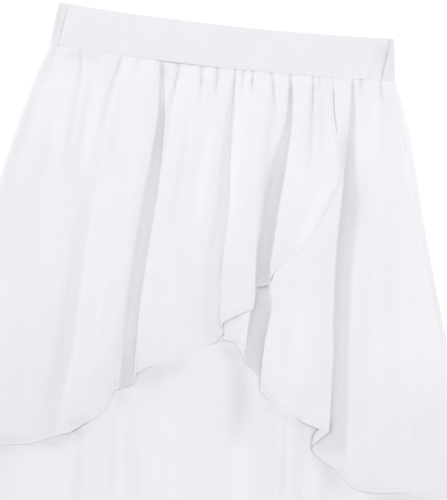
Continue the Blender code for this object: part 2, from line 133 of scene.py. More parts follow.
def table(names, *rows):
    """A small table: one array for each named column."""
    return {name: np.array(column, float) for name, column in zip(names.split(), zip(*rows))}


# Fold lines, from the waist down. left and right are the reach of the trough's sides, crown is the height
# of the cloth beside it and floor the height of the trough.
FOLD_COLUMNS = "down across left right crown floor"
FOLDS = {
    "left side": table(
        FOLD_COLUMNS,
        (42, -166, 8, 8, 1.2, 0), (85, -178.5, 8, 8, 1.5, 0), (130, -189, 8, 8, 2.2, 0),
        (175, -199, 8, 8, 2.6, 0), (270, -223, 8, 8, 3, 0), (430, -264, 8, 8, 3, 0)),
    "far left": table(
        FOLD_COLUMNS,
        (42, -95, 3, 3, 1.6, 0.8), (85, -103, 4, 4, 5, 3.8), (130, -107, 6, 5, 6.5, 5.7),
        (175, -111, 9, 10, 7, 6), (225, -115.5, 12, 12, 7.5, 5), (320, -117.5, 14, 13, 7.5, 4),
        (375, -123.5, 15, 14, 7, 3.6), (430, -129, 15, 14, 6.5, 3.6)),
    "left": table(
        FOLD_COLUMNS,
        (42, -57, 3, 3, 2, 0.4), (85, -52.5, 4, 3.5, 7, 3.2), (100, -51.5, 4.5, 4, 7.8, 2.8),
        (130, -51.9, 6.5, 5.5, 9, 2.4), (175, -54.6, 7.6, 7.8, 9.5, 2.6), (225, -58, 8, 8.4, 9.5, 3),
        (290, -60, 8, 8.2, 9.2, 2.8), (345, -59.6, 9, 8.8, 8.6, 2.8), (430, -59.4, 9, 9, 8, 1.6)),
    "middle": table(
        FOLD_COLUMNS,
        (42, 13, 3, 3, 2, 1), (85, 13, 5, 4, 7, 5.6), (130, 14, 8, 4, 9, 6.6),
        (175, 17, 11, 5, 10, 6.8), (225, 14, 12, 7, 10, 6.8), (270, 17, 18, 6, 9.5, 6.2),
        (320, 27, 20, 7, 9, 5), (430, 30, 12, 8, 8.5, 3.6)),
    "dark": table(
        FOLD_COLUMNS,
        (42, 66, 3, 3, 2, 0.4), (85, 68.4, 3.5, 3.5, 7, 3.6), (100, 68, 5.5, 4, 8, 4.4),
        (115, 66.6, 9, 5, 8.8, 4), (130, 65, 12, 6, 9.5, 1.8), (160, 62.2, 13, 7.4, 10.2, 0.4),
        (190, 60.4, 11, 7.5, 10.4, 0.4), (225, 60, 8.6, 6.5, 10.4, 1.6),
        (250, 60.5, 6.8, 8.2, 10.2, 2.2), (266, 61, 6.4, 8.2, 10, 2.8),
        (290, 60.5, 8.4, 8.4, 9.8, 2.8), (320, 60, 9.5, 9, 9.2, 2.6), (430, 60, 8, 8, 8.2, 1.6)),
    "right": table(
        FOLD_COLUMNS,
        (42, 125, 1, 1, 1.8, 0.4), (62, 127, 0.6, 1, 4.2, 2.2), (80, 128, 0.6, 3, 5.4, 2.6),
        (98, 128, 0.8, 5, 6.4, 3), (120, 129.5, 1.8, 7, 7.4, 3.2), (140, 131.5, 3, 11, 8, 3),
        (156, 132.5, 4, 14, 8.3, 2.8), (190, 133, 4.7, 15, 8.2, 3), (225, 134.5, 5, 13, 7.8, 3.2),
        (262, 137.6, 5.5, 12, 7.6, 3.2), (320, 141.7, 7.3, 17, 7.4, 3.4), (375, 147.1, 9, 16, 6.6, 3),
        (430, 152, 9, 13, 5.8, 2.2)),
    "right side": table(
        FOLD_COLUMNS,
        (42, 166, 8, 8, 1.2, 0), (85, 183, 8, 8, 1.5, 0), (130, 195.5, 8, 8, 2.2, 0),
        (175, 207.5, 8, 8, 2.6, 0), (270, 237, 8, 8, 3, 0), (430, 286, 8, 8, 3, 0)),
    "left petal's edge": table(
        FOLD_COLUMNS,
        (42, 106, 6, 6, 1.6, 1.2), (72, 109.6, 6, 6, 5, 3.6), (99, 116.2, 6, 6, 6.6, 5.8),
        (115, 121.5, 6, 6, 7.6, 6.2), (134, 125.6, 6, 6, 8.2, 5.6), (158, 118, 6, 6, 9.2, 8),
        (175, 112, 6, 6, 9.4, 8.8), (430, 112, 6, 6, 9.4, 8.8)),
    "right petal's edge": table(
        FOLD_COLUMNS,
        (42, -106, 6, 14, 1, 0.2), (99, -117, 6, 14, 2.5, 0.4), (134, -126, 6, 14, 3, 0.4),
        (158, -118, 6, 14, 3.5, 0.4), (430, -112, 6, 14, 4.5, 0.4)),
}
# Painted shade on a fold's floor, where shade falls in the trough: 1 gives the painted shade's tone,
# and 2 is twice as far from white.
FLOOR_PAINTED_SHADE = {
    "far left": table(
        "down share",
        (42, 0), (150, 0.15), (220, 0.5), (310, 1.1), (400, 1.2), (430, 0.8)),
    "left": table(
        "down share",
        (42, 0), (100, 0.2), (200, 0.1), (250, 0.15), (290, 0.7), (330, 1.6), (430, 2)),
    "middle": table(
        "down share",
        (42, 0), (100, 0.35), (160, 0.45), (220, 0.35), (270, 0.5), (300, 0.95), (430, 0.7)),
    "dark": table(
        "down share",
        (42, 0), (85, 0.3), (130, 0.35), (190, 0.7), (215, 1.1), (236, 1.5), (246, 1.3), (252, 1),
        (266, 1.3), (280, 1.5), (292, 1.8), (308, 2), (322, 1.9), (345, 1.6), (430, 1)),
    "right": table(
        "down share",
        (42, 0), (90, 0.6), (110, 1), (130, 1.1), (170, 1.3), (220, 1.25), (300, 1.2), (350, 1.5),
        (388, 1.6), (404, 0.7)),
}
# Painted shade over all the cloth, growing towards the hem: least at the gathers and at the right, most at
# the lower left. Each pair is where that starts and the width over which it comes in, or for the ends of the
# lighter right goes out.
BODY_PAINTED_SHADE = table(
    "down share",
    (42, 0.25), (110, 0.3), (200, 0.48), (300, 0.6), (360, 0.74), (430, 0.86))
LOWER_LEFT_SHADE, LOWER_LEFT_SHADE_DOWN, LOWER_LEFT_SHADE_ACROSS = 0.65, (230.0, 140.0), (-90.0, 50.0)
RIGHT_LIGHTER_SHARE, RIGHT_LIGHTER_ACROSS, RIGHT_LIGHTER_ENDS = 0.5, (130.0, 90.0), (270.0, 90.0)
PAINTED_SHADE_TONE = 0.88         # tone of painted shade 1, beside the cloth with none painted
PAINTED_SHADE_MOST = 2.0          # the greyest that a patch can be, where shade adds to it
TURN_PAINTED_SHADE = 0.25         # painted shade on a turned edge for each millimetre that it turns down past the first
TURN_SHADE, TURN_SHADE_ENDS = 7.0, 1.5    # where that ends, from the edge, and over which width

# Which sides of a fold are steep, and from how far down
SHARP_LEFT = {"right": 110.0, "dark": 190.0}
SHARP_RIGHT = {"left": 60.0, "dark": 60.0, "middle": 60.0}
SHARPENS = 30.0           # length over which a side turns steep
LEFT_STEEPNESS = 0.72     # of the left sides, which lean less than the right ones

# How far the foot of a fold's left side runs in under the crown near the hem. Its tip and its end are
# shares of the way up that side, and the cloth past the tip, which lies in the crown's shadow, gets the
# painted shade given below.
TUCKS = {"right": table("down reach", (364, 0), (386, 17), (430, 17))}
TUCK_TIP, TUCK_END = 0.6, 0.9
TUCK_PAINTED_SHADE = 1.2

LEFT_PETAL = ("left side", "far left", "left", "middle", "dark", "left petal's edge")
RIGHT_PETAL = ("right petal's edge", "left", "middle", "dark", "right", "right side")
FLAT_SHARE = 0.2          # of the way between two fold lines: each side of a fold
# rise of a crown's middle over its sides, as a share of its width
CROWN_ROUND = table("down share", (45, 0), (85, 0.05), (160, 0.042), (300, 0.014), (430, 0.01))
SOFT_FLOOR = 0.3          # share of a soft side's reach that is still the trough's floor
BARE_STEEP, BARE_SOFT = 0.12, 0.7         # share of a side's height over which its floor's painted shade ends

# The steep side of a fold, from the trough's foot: the floor runs in under the crown, and the wall leans
# out over it. reach and height are shares of the side's own reach and height.
STEEP = table(
    "along reach height",
    (0, 0, 0), (0.3, 0.52, 0), (0.52, 0.96, 0.03), (0.66, 1.12, 0.24), (0.78, 1.05, 0.62),
    (0.88, 0.93, 0.9), (0.95, 0.94, 0.99), (1, 1.04, 1))

# Hems from the left to the right. stand is the share of the folds' height that stays at the hem, turn how
# far the very edge turns down.
HEM_COLUMNS = "across down stand turn"
LEFT_PETAL_HEM = table(
    HEM_COLUMNS,
    (-262, 417.5, 0.05, 0.3), (-215, 422.5, 0.06, 0.4), (-170, 422.5, 0.06, 0.5),
    (-147, 419, 0.08, 0.4), (-131, 414, 0.08, 0.4), (-115, 407, 0.1, 0.8), (-106, 404, 0.22, 1.6),
    (-95, 395.5, 0.22, 1.2), (-83, 387, 0.05, 0.4), (-72, 376, 0, 0.2), (-68, 360, 0.02, 0.2),
    (-58, 355, 0.12, 0.2), (-54.5, 351, 0.35, 0.3), (-52.5, 347, 0.35, 0.5), (-49, 341, 0.16, 0.5),
    (-40, 335, 0.05, 0.5), (-31, 331, 0.02, 0.5), (-14, 322, 0, 0.6), (1, 316, 0, 0.5),
    (14, 309, 0, 0.4), (24, 303, 0.12, 0.4), (28, 284, 0.46, 0.4), (40, 276, 0.5, 0.4),
    (54.3, 269, 0.62, 0.4), (57, 248, 1, -0.6), (65, 244.5, 1, -0.6), (67.5, 239, 0.9, 1.2),
    (70.5, 231, 0.9, 1.6), (84, 220.5, 0.8, 1.2), (93, 213, 0.75, 0.8), (105, 193, 0.75, 0.8),
    (112, 175, 0.8, 0.8), (118, 158, 0.95, 0.6))
RIGHT_PETAL_HEM = table(
    HEM_COLUMNS,
    (-118, 158, 0.5, 0.4), (-105, 193, 0.5, 0.4), (-84, 221, 0.5, 0.4), (-67, 242, 0.4, 0.4),
    (-52, 268, 0.3, 0.4), (-23, 290, 0.2, 0.4), (0, 301, 0.2, 0.4), (24, 301, 0.1, 0.4),
    (31, 301, 0.1, 0.4), (41, 302, 0.06, 0.4), (45, 308, 0.05, 0.4), (49.5, 313, 0.05, 0.4),
    (56, 322, 0.05, 0.3), (62, 328, 0.08, 0.2), (66, 338, 0.1, 0.3), (74, 349.5, 0.05, 0.3),
    (84, 356.5, 0, 0.4), (99, 363, 0, 0.5), (113, 370.5, 0.1, 0.4), (128, 374.5, 0.34, 0.4),
    (139.8, 377.5, 0.5, 0.4), (143.3, 394.5, 0.2, 0.3), (148.3, 409, 0.1, 0.3), (156, 420, 0.1, 0.4),
    (163, 424.5, 0.15, 0.5), (174, 429, 0.1, 0.6), (186, 430, 0.1, 0.6), (217, 426, 0.08, 0.6),
    (233, 430, 0.08, 0.6), (256, 425, 0.08, 0.6), (283, 419, 0.08, 0.6))

# Creases: each runs from its head to its foot, bowing to the right in between. half is half of its width,
# depth is below 0 for a ridge, lean above 0 makes the right side steep, and swell is 1 for a crease that
# is deepest midway, 0 for a gather that is deepest at the seam.
CREASE_COLUMNS = "across down to_across to_down half depth bow lean swell"


def crease_table(*rows):
    """A table of creases, whose rows leave out last numbers that are those of a straight, even crease that
    is deepest midway: bow 0, lean 0 and swell 1."""
    plain = (0, 0, 1)
    return table(CREASE_COLUMNS, *(row + plain[len(row) - 6:] for row in rows))


LEFT_CREASES = crease_table(
    (-156, 40, -162, 60, 3, 2, 0, 0.3, 0), (-135, 40, -130, 84, 2.2, 2.8, 1, 0.5, 0),
    (-95, 42, -105, 90, 2.2, 1.6, 0, -0.4, 0), (-79, 43, -78, 62, 2, 2.2, 0, 0, 0),
    (-57, 43, -53, 84, 2, 1.6, 1, 0.4, 0), (-40, 44, -42.5, 92, 2.6, 4, -0.5, 0.3, 0),
    (-18, 45, -16, 84, 2.6, 4.2, 0, 0.2, 0), (-4, 45, -2, 80, 2.4, 4, 0, -0.1, 0),
    (13.6, 45, 15.8, 124, 1.8, 1.8, 0, 0.4, 0), (22, 45, 21, 66, 2, 2.8, 0, 0.3, 0),
    (30, 45, 31, 70, 2, 2.2, 0, 0.3, 0), (48, 45, 58, 96, 2.6, 4.2, 0, 0, 0),
    (66, 45, 68, 80, 2.2, 2.6, 1, 0.5, 0), (87.2, 44, 96, 140, 2.6, 3.2, -1, -0.3, 0),
    (93, 44, 94, 60, 1.8, 2.4, 0, 0, 0), (-120, 60, -127, 150, 9, -1.2), (-150, 70, -160, 250, 12, 1),
    (-138, 60, -146, 200, 9, -0.8), (-86, 60, -90, 170, 7, -1), (-74, 80, -80, 260, 7, 0.7),
    (-178, 180, -196, 410, 10, 0.8), (-196, 300, -222, 421, 12, 1.2),
    (-150, 330, -160, 420, 7, 1.2, 0, 0.3), (-84, 230, -98, 400, 5, -0.8, 2),
    (-108, 200, -111, 400, 4, -0.4, 0, 0.3), (-30, 80, -36, 300, 8, 0.8, 2),
    (-20, 60, -20, 180, 6, -1), (-8, 90, -16, 320, 9, 0.8, 0, 0.2), (-30, 240, -34, 332, 10, 1),
    (24, 60, 26, 240, 5, -1), (36, 70, 38, 230, 7, 0.7), (80, 60, 78, 190, 5, -0.8),
    (112, 126, 90, 208, 10, -2.6, 4, -0.4), (100, 60, 104, 150, 4, 0.7))
RIGHT_CREASES = crease_table(
    (125.3, 42, 128, 100, 2, 1.6, 1, 0, 0), (107.5, 46, 117, 114, 5, 1.9, -1),
    (133, 42, 133, 62, 2.2, 2.6, 0, 0.5, 0), (151, 40, 158, 70, 2.4, 3.4, -1, 0.2, 0),
    (141, 44, 142, 200, 6, -1.1), (160, 46, 166, 90, 5, 1), (170, 66, 184, 118, 1.4, 0.9, 1, 0.6),
    (158, 90, 172, 330, 10, 0.7), (176, 140, 206, 400, 9, 1, 0, 0.2), (190, 150, 226, 424, 8, -0.8),
    (92, 250, 98, 360, 9, 0.6), (216, 330, 224, 424, 4, 1.2), (236, 280, 258, 424, 11, 0.7),
    (84, 250, 82, 350, 7, -0.6), (120, 230, 124, 372, 7, -0.7), (154, 120, 174, 424, 16, 2.8),
    (43, 298, 47, 314, 2.2, -2, 2))
UNDER_CREASES = crease_table(
    (-84, 330, -74, 520, 7, 0.7, 0, 0.3), (-50, 330, -40, 520, 6, 0.6), (-10, 330, -4, 560, 8, 0.7),
    (30, 350, 34, 520, 3, -0.6), (46, 286, 54, 400, 14, 2.2), (89, 350, 95, 560, 4, 1, 0, 0.4),
    (118, 380, 120, 520, 3, 0.8), (-150, 430, -190, 780, 12, 1.8, 4, 0.3),
    (-230, 420, -282, 800, 14, 1.8), (-96, 480, -120, 870, 9, 1.4, -3, -0.3),
    (-50, 540, -62, 880, 10, 1.6, 0, 0.4), (10, 520, 22, 880, 8, 1.3, 2),
    (66, 540, 90, 884, 11, 1.7, 0, -0.3), (140, 470, 176, 880, 10, 1.8, -3, 0.3),
    (210, 430, 250, 830, 12, 1.6), (282, 420, 340, 850, 12, 1.8, 3, 0.3))
BACK_CREASES = crease_table(
    (-120, 45, -140, 200, 4, 0.3, 0, 0, 0), (-60, 45, -66, 160, 4, 0.3, 0, 0, 0),
    (0, 46, 2, 240, 4, 0.3, 0, 0, 0), (70, 45, 82, 180, 4, 0.3, 0, 0, 0),
    (130, 44, 150, 220, 4, 0.3, 0, 0, 0))
BAND_CREASES = crease_table(
    (-151.5, 4, -156.5, 36, 2.6, 1.1, 1, -0.2), (-147, 3, -149, 30, 3, 0.8),
    (154.8, 6, 151.4, 40, 4, 0.5, 0, 0.2), (132, 8, 130, 40, 4, 0.4), (139, 10, 136, 42, 4, -0.5),
    (145, 14, 141, 40, 3, 0.7), (96, 8, 90, 40, 9, 0.3), (70, 8, 66, 40, 10, 0.3),
    (-120, 3, -118, 40, 12, 0.2))

# Painted shade and painted highlight in soft patches: depth is added to the cloth's painted shade, and below
# 0 lightens it.
BAND_PAINTED_SHADING = crease_table(
    (-158, -14, -163, 40, 7, 0.9), (158, 0, 161, 44, 5, 0.5), (149, 2, 149, 26, 8, 0.5))
LEFT_PAINTED_SHADING = crease_table(
    (-112, 62, -122, 165, 9, -0.5), (22, 60, 28, 240, 12, -0.3),
    (114, 130, 88, 226, 13, -0.6, 3, -0.3), (88, 90, 92, 200, 14, -0.2), (-160, 44, -170, 80, 10, 0.4),
    (-150, 80, -185, 280, 28, 0.25), (-168, 46, -96, 51, 8, 0.45), (-166, 46, -204, 210, 11, 0.7),
    (-133, 48, -137, 170, 5, 0.4), (104, 56, 120, 150, 6, -0.3), (-61, 322, -58, 362, 6, 0.4),
    (-205, 417, -138, 413, 7, 0.45, -1), (-112, 397, -87, 386, 6, 0.6), (-90, 64, -97, 165, 7, 0.4),
    (-122, 60, -128, 180, 6, 0.45), (-45.5, 66, -46, 145, 4, 0.5), (50, 56, 52, 185, 5, 0.45),
    (86, 56, 92, 160, 4, 0.35), (-25, 80, -30, 210, 6, 0.35), (-3, 80, -8, 210, 7, -0.4),
    (-58, 46, -49, 64, 5, 0.9))
RIGHT_PAINTED_SHADING = crease_table(
    (96, 235, 104, 340, 18, -0.25), (149, 50, 148, 130, 7, -0.5), (143, 120, 146, 190, 8, 0.4),
    (120, 84, 126, 136, 5, 0.8), (172, 62, 192, 150, 5, -0.4), (166, 160, 186, 300, 8, 0.2),
    (190, 100, 244, 300, 6, 0.5))
# The same painted shade for the under-skirt, where it lies clear of the back: most of it the petals' shadow
# below their hems
UNDER_PAINTED_SHADE = crease_table(
    (46, 304, 54, 405, 16, 1, 0, -0.2), (26, 306, 48, 320, 8, 0.9), (-95, 396, -93, 500, 9, 0.6),
    (-66, 366, -57, 500, 6, 0.5), (-42, 400, -33, 470, 3, 0.25), (94, 356, 104, 480, 5, 0.6),
    (122, 394, 164, 440, 10, 0.9), (-46, 348, 4, 322, 10, 0.7), (-40, 318, -24, 368, 13, 0.4),
    (-62, 352, -58, 378, 9, 0.6), (-190, 380, -262, 880, 62, 0.8, 0, 0, 0),
    (208, 446, 274, 880, 62, 0.6, 0, 0, 0), (-148, 420, -92, 402, 7, 1, -3),
    (176, 436, 240, 432, 7, 1.4), (-205, 427, -138, 421, 5, 0.6, -1), (-102, 408, -84, 395, 5, 0.8),
    (64, 352, 124, 380, 6, 0.5), (132, 401, 154, 418, 5, 0.7), (136, 410, 147, 475, 9, 0.6))

# The under-skirt's waves: the rows, and how far across each line between two waves is at them
WAVE_ROWS = (42, 200, 320, 400, 460, 600, 740, 890)
WAVES = {
    "left side": (-158, -197, -227, -247, -262, -298, -335, -375),
    "outer left": (-112, -145, -168, -188, -202, -234, -262, -292),
    "hip left": (-72, -90, -100, -106, -108, -128, -150, -174),
    "left": (-45, -60, -70, -73, -65, -66, -70, -76),
    "middle left": (-18, -32, -40, -42, -33, -30, -28, -26),
    "middle": (24, 36, 43, 46, 48, 58, 70, 82),
    "middle right": (56, 72, 83, 90, 95, 110, 128, 148),
    "right": (88, 104, 114, 118, 120, 146, 176, 206),
    "hip right": (124, 150, 172, 190, 202, 232, 262, 292),
    "right side": (159, 206, 243, 267, 285, 325, 361, 397),
}
WAVE_HEIGHT = table(
    "down height",
    (42, 0.4), (200, 0.6), (300, 1.6), (350, 2.6), (400, 3.6), (460, 4.6), (700, 6), (890, 8))

# The groove between the band and the gathered cloth
SEAM_GAP = table(
    "across depth",
    (-166, 0), (-104, 0), (-96, 0.25), (-66, 0.3), (-57, 1.5), (-44, 1.9), (-36, 1.6), (-18, 1.2),
    (0, 0.8), (60, 0.5), (98, 0.3), (112, 0.05), (166, 0))

# The right petal where the left one lies on it, and first the share of its folds' height that stays
COVERED = table(
    "down share",
    (42, 0), (75, 0.5), (99, 0.75), (175, 0.78), (240, 0.8), (265, 0.72), (285, 0.6), (430, 0.6))
NEST, NEST_ENDS, NEST_FADE = 3.0, 265.0, 45.0    # its folds reach this much further, down to here
STEEP_FROM, STEEP_OVER = 250.0, 20.0             # and their sides are soft down to here,
STEEP_BESIDE = 4.0                               # except this close to the left petal's edge
EDGE_SHOWS, HEM_SHOWS = 5.0, 16.0                # widths over which it comes out past that edge and hem
HEM_SHOWN = 0.4                                  # share of the way that it is out at the hem itself
SEAM_LOWER = 0.6                                 # its seam lies lower under the left petal's,
SEAM_LOWER_ENDS, SEAM_LOWER_FADE = 106.0, 6.0    # as far across as this


def through(rows, values, at):
    """Smooth curve through the table's points that never overshoots them: a cubic between neighbours whose
    slope at each point is the harmonic mean of the slopes on both sides, and 0 where those differ in sign."""
    rows, values = np.asarray(rows, float), np.asarray(values, float)
    secant = np.diff(values) / np.diff(rows)
    before, after = secant[:-1], secant[1:]
    total = np.where(before * after > 0, before + after, 1.0)
    inner = np.where(before * after > 0, 2 * before * after / total, 0.0)
    slope = np.concatenate([secant[:1], inner, secant[-1:]])
    at = np.clip(at, rows[0], rows[-1])
    k = np.clip(np.searchsorted(rows, at) - 1, 0, len(rows) - 2)
    span = rows[k + 1] - rows[k]
    f = (at - rows[k]) / span
    start = (2 * f**3 - 3 * f**2 + 1) * values[k] + (f**3 - 2 * f**2 + f) * span * slope[k]
    return start + (3 * f**2 - 2 * f**3) * values[k + 1] + (f**3 - f**2) * span * slope[k + 1]


def ease(f):
    """0 to 1 with level ends: three times the square less twice the cube."""
    f = np.clip(f, 0.0, 1.0)
    return f * f * (3 - 2 * f)


def seam_down(across):
    """The gathered seam: its middle's depth less a parabola that rises towards both sides."""
    return SEAM_MIDDLE - SEAM_BOW * (across / SEAM_HALF) ** 2


def band_top_down(across):
    """The waist's top edge, a flatter parabola."""
    return BAND_TOP_MIDDLE - BAND_TOP_BOW * (across / BAND_TOP_HALF) ** 2


def arc_down(across, left, right, middle, rise):
    """A hem that rises by the same amount towards both sides: its middle's depth less the rise times the
    square of the share of the way to a side."""
    share = (2 * across - left - right) / (right - left)
    return middle - rise * share**2


def back_hem(across):
    """The hem of the over-skirt's back, an arc between the sides of the petals."""
    return arc_down(across, FOLDS["left side"]["across"][-1], FOLDS["right side"]["across"][-1],
                    BACK_HEM_MIDDLE, BACK_HEM_RISE)


def under_hem(across):
    """The under-skirt's hem, an arc between its sides."""
    return arc_down(across, WAVES["left side"][-1], WAVES["right side"][-1],
                    UNDER_HEM_MIDDLE, UNDER_HEM_RISE)


def wave_height(down):
    """Height of the under-skirt's waves, smooth through their table."""
    return through(*WAVE_HEIGHT.values(), down)


def wave_lines(down):
    """Across of every line between two waves, smooth through its row of the table."""
    return np.array([through(WAVE_ROWS, way, down) for way in WAVES.values()])


def column(line, name, down):
    """A column of a fold line's table, smooth between its rows."""
    return through(FOLDS[line]["down"], FOLDS[line][name], down)


def steepness(sides, line, down):
    """0 where that side of the fold is a soft slope, eased to 1 where it is steep."""
    return ease((down - sides[line]) / SHARPENS) if line in sides else np.zeros_like(down)


def floor_painted_shade_at(line, down):
    """Painted shade on a fold's floor, 0 where the fold has no table."""
    return through(*FLOOR_PAINTED_SHADE[line].values(), down) if line in FLOOR_PAINTED_SHADE else np.zeros_like(down)


def fold_side(along, steep):
    """Shares of reach and height up one side of a fold: a level floor and an even slope, blended with the
    steep side's own curve."""
    reach = along * (1 - steep) + through(STEEP["along"], STEEP["reach"], along) * steep
    slope = ease((along - SOFT_FLOOR) / (1 - SOFT_FLOOR))
    height = slope * (1 - steep) + through(STEEP["along"], STEEP["height"], along) * steep
    return reach, height


def tucked(line, down, along):
    """Reach of a fold's tuck: eased up to its tip and back to nothing at its end."""
    if line not in TUCKS:
        return np.zeros_like(down)
    reach = through(*TUCKS[line].values(), down)
    return reach * ease(along / TUCK_TIP) * ease((TUCK_END - along) / (TUCK_END - TUCK_TIP))


def petal_at(lines, place, down, nest=0.0, steep=1.0):
    """Across, height and painted shade of a front petal: from each fold line's trough up its side, over the
    crown and down the next fold's side. place counts the fold lines; the outer fifths of the way between
    two lines are the sides, and the cloth between them is the crown."""
    shape = np.broadcast(place, down).shape
    place, down, nest = (np.broadcast_to(x, shape) for x in (place, down, nest))
    across, height, painted_shade = np.zeros(shape), np.zeros(shape), np.zeros(shape)
    for number, (line, following) in enumerate(zip(lines[:-1], lines[1:])):
        here = (place >= number) & (place <= number + 1)
        share, v, widen = place[here] - number, down[here], nest[here]
        first, last = column(line, "across", v), column(following, "across", v)
        right = column(line, "right", v) + widen
        left = column(following, "left", v) + widen
        up = np.clip(share / FLAT_SHARE, 0, 1)
        away = np.clip((1 - share) / FLAT_SHARE, 0, 1)
        between = np.clip((share - FLAT_SHARE) / (1 - 2 * FLAT_SHARE), 0, 1)
        crown = column(line, "crown", v) * (1 - ease(between)) + column(following, "crown", v) * ease(between)
        steep_up = steep * steepness(SHARP_RIGHT, line, v)
        steep_away = steep * LEFT_STEEPNESS * steepness(SHARP_LEFT, following, v)
        up_reach, up_height = fold_side(up, steep_up)
        away_reach, away_height = fold_side(away, steep_away)
        near_side, far_side = first + right * up_reach, last - left * away_reach
        middle = near_side + (far_side - near_side) * between
        inward = far_side - steep * tucked(following, v, away)
        across[here] = np.where(up < 1, near_side, np.where(away < 1, inward, middle))
        low = np.where(up < 1, column(line, "floor", v), column(following, "floor", v))
        side = np.where(up < 1, up_height, away_height)
        rounded = np.abs(last - left - first - right) * 4 * between * (1 - between)
        height[here] = low + (crown - low) * side + rounded * through(*CROWN_ROUND.values(), v)
        # painted shade: on the troughs' floors and in a tuck's shadowed return, over a body shade that grows
        # down the cloth and is lighter at the right
        bare = BARE_SOFT + (BARE_STEEP - BARE_SOFT) * np.where(up < 1, steep_up, steep_away)
        strength = np.where(up < 1, floor_painted_shade_at(line, v), floor_painted_shade_at(following, v))
        right_lighter = ease((across[here] - RIGHT_LIGHTER_ACROSS[0]) / RIGHT_LIGHTER_ACROSS[1])
        right_lighter = right_lighter * ease(1 - (v - RIGHT_LIGHTER_ENDS[0]) / RIGHT_LIGHTER_ENDS[1])
        body = through(*BODY_PAINTED_SHADE.values(), v) * (1 - RIGHT_LIGHTER_SHARE * right_lighter)
        turned = (away > TUCK_TIP) & (away < 1) & (tucked(following, v, TUCK_TIP) > 1)
        strength = np.where(turned, TUCK_PAINTED_SHADE, strength * ease(1 - side / bare))
        painted_shade[here] = body + (1 - body) * np.minimum(strength, 1) + np.maximum(strength - 1, 0)
    return across, height, painted_shade


def petal_at_blend(lines, place, down, nest, steep):
    """petal_at with a steepness that differs from point to point."""
    soft, sharp = petal_at(lines, place, down, nest, 0.0), petal_at(lines, place, down, nest, 1.0)
    return tuple(a * (1 - steep) + b * steep for a, b in zip(soft, sharp))


def place_of(lines, across, down, steps=40):
    """The place on the fold lines of points given by their across and down, from even steps of places."""
    places = np.linspace(0, len(lines) - 1, steps * (len(lines) - 1) + 1)
    found = [np.interp(a, petal_at(lines, places, np.full_like(places, v), steep=0.0)[0], places)
             for a, v in zip(across, down)]
    return np.array(found)


def creased(creases, across, down):
    """Depth of the creases at points of a panel. Each is an eased trough across a line from its head to its
    foot, measured along that line and square to it; its two sides have different widths where it leans, it
    widens towards its foot, and it fades along its length."""
    depth = np.zeros(across.shape)
    for a, d, to_a, to_d, half, deep, bow, lean, swell in zip(*creases.values()):
        right, below = to_a - a, to_d - d
        length = np.hypot(right, below)
        along = ((across - a) * right + (down - d) * below) / length
        near = (along > -CREASE_HEAD) & (along < length)
        s = np.clip(along[near] / length, 0, 1)
        square = ((across[near] - a) * below - (down[near] - d) * right) / length
        off = square - bow * np.sin(np.pi * s)
        wide = half * (1 + CREASE_WIDENS * s)
        side = wide * np.where(off > 0, 1 - CREASE_LEANS * lean, 1 + CREASE_LEANS * lean)
        fade = (1 - s) ** GATHER_FADES * (1 - swell) + np.sin(np.pi * s) * swell
        depth[near] += deep * fade * ease(1 - np.abs(off) / side)
    return depth


def seam_gap(across):
    """Depth of the groove between the band and the gathered cloth, smooth through its table."""
    return through(*SEAM_GAP.values(), across)


def uncovered_share(across, down):
    """0 where the left petal lies on the right one, 1 where the right one shows, eased across the left one's
    edge and its hem."""
    hem = LEFT_PETAL_HEM
    past_edge = ease((across - column("left petal's edge", "across", down)) / EDGE_SHOWS + 0.5)
    past_hem = ease((down - np.interp(across, hem["across"], hem["down"])) / HEM_SHOWS + HEM_SHOWN)
    beside = (down < hem["down"][-1]) | (across > hem["across"][-1])
    return np.where(beside, past_edge, past_hem)


def covered_nest(down):
    """How much further covered folds reach, eased to nothing where they come out below the other hem."""
    return NEST * (1 - ease((down - NEST_ENDS) / NEST_FADE))


def hem_width_down(hem, places, hem_places, least_run=0.2):
    """How far down the cloth a millimetre across the hem's band reaches, where the hem slants: the root of
    one and its slope squared."""
    run = np.gradient(np.interp(places, hem_places, hem["across"]))
    fall = np.gradient(np.interp(places, hem_places, hem["down"]))
    slope = fall / np.where(np.abs(run) < least_run, least_run, run)
    return np.clip(np.sqrt(1 + slope**2), 1, SLANT_MOST)


def rolled_hem(from_edge):
    """Height of the narrow turned hem over the panel: its extra layers with a rounded upper edge, less the
    groove that its stitches pull in."""
    rolled = 1 - HEM_ROUND * (1 - np.clip(from_edge / HEM_ROLL, 0, 1))
    groove = np.exp(-((from_edge - STITCH_IN) / GROOVE_WIDTH) ** 2)
    return HEM_LIFT * ease((HEM - from_edge) / HEM_INNER + 1) * rolled - GROOVE_DEPTH * groove


def rolled_side(height, inward):
    """A petal's height where it turns down to the back at the skirt's side: a quarter of a sine."""
    return LAYER + (height - LAYER) * np.sin(np.pi / 2 * np.clip(inward / SIDE_ROLL, 0, 1))


def under_height(across, down, front=True):
    """Height of an under-skirt panel: it lies on the over-skirt's back and comes down to the surface past
    its hem; the front also has its waves, sine-squared between the wave lines, less its creases."""
    step = FRONT_STEP if front else BACK_STEP
    height = UNDER_MIDDLE + LAYER * (1 - ease((down - back_hem(across)) / step))
    if not front:
        return height
    lines = wave_lines(down)
    k = np.clip((lines <= across).sum(axis=0) - 1, 0, len(WAVES) - 2)
    pick = np.indices(across.shape)
    low, high = lines[(k, *pick)], lines[(k + 1, *pick)]
    share = np.clip((across - low) / (high - low), 0, 1)
    waves = wave_height(down) * np.sin(np.pi * share) ** 2
    dips = creased(UNDER_CREASES, across, down)
    return height + LAYER + np.maximum(waves - dips, WAVE_KEEPS * waves - WAVE_DIP)


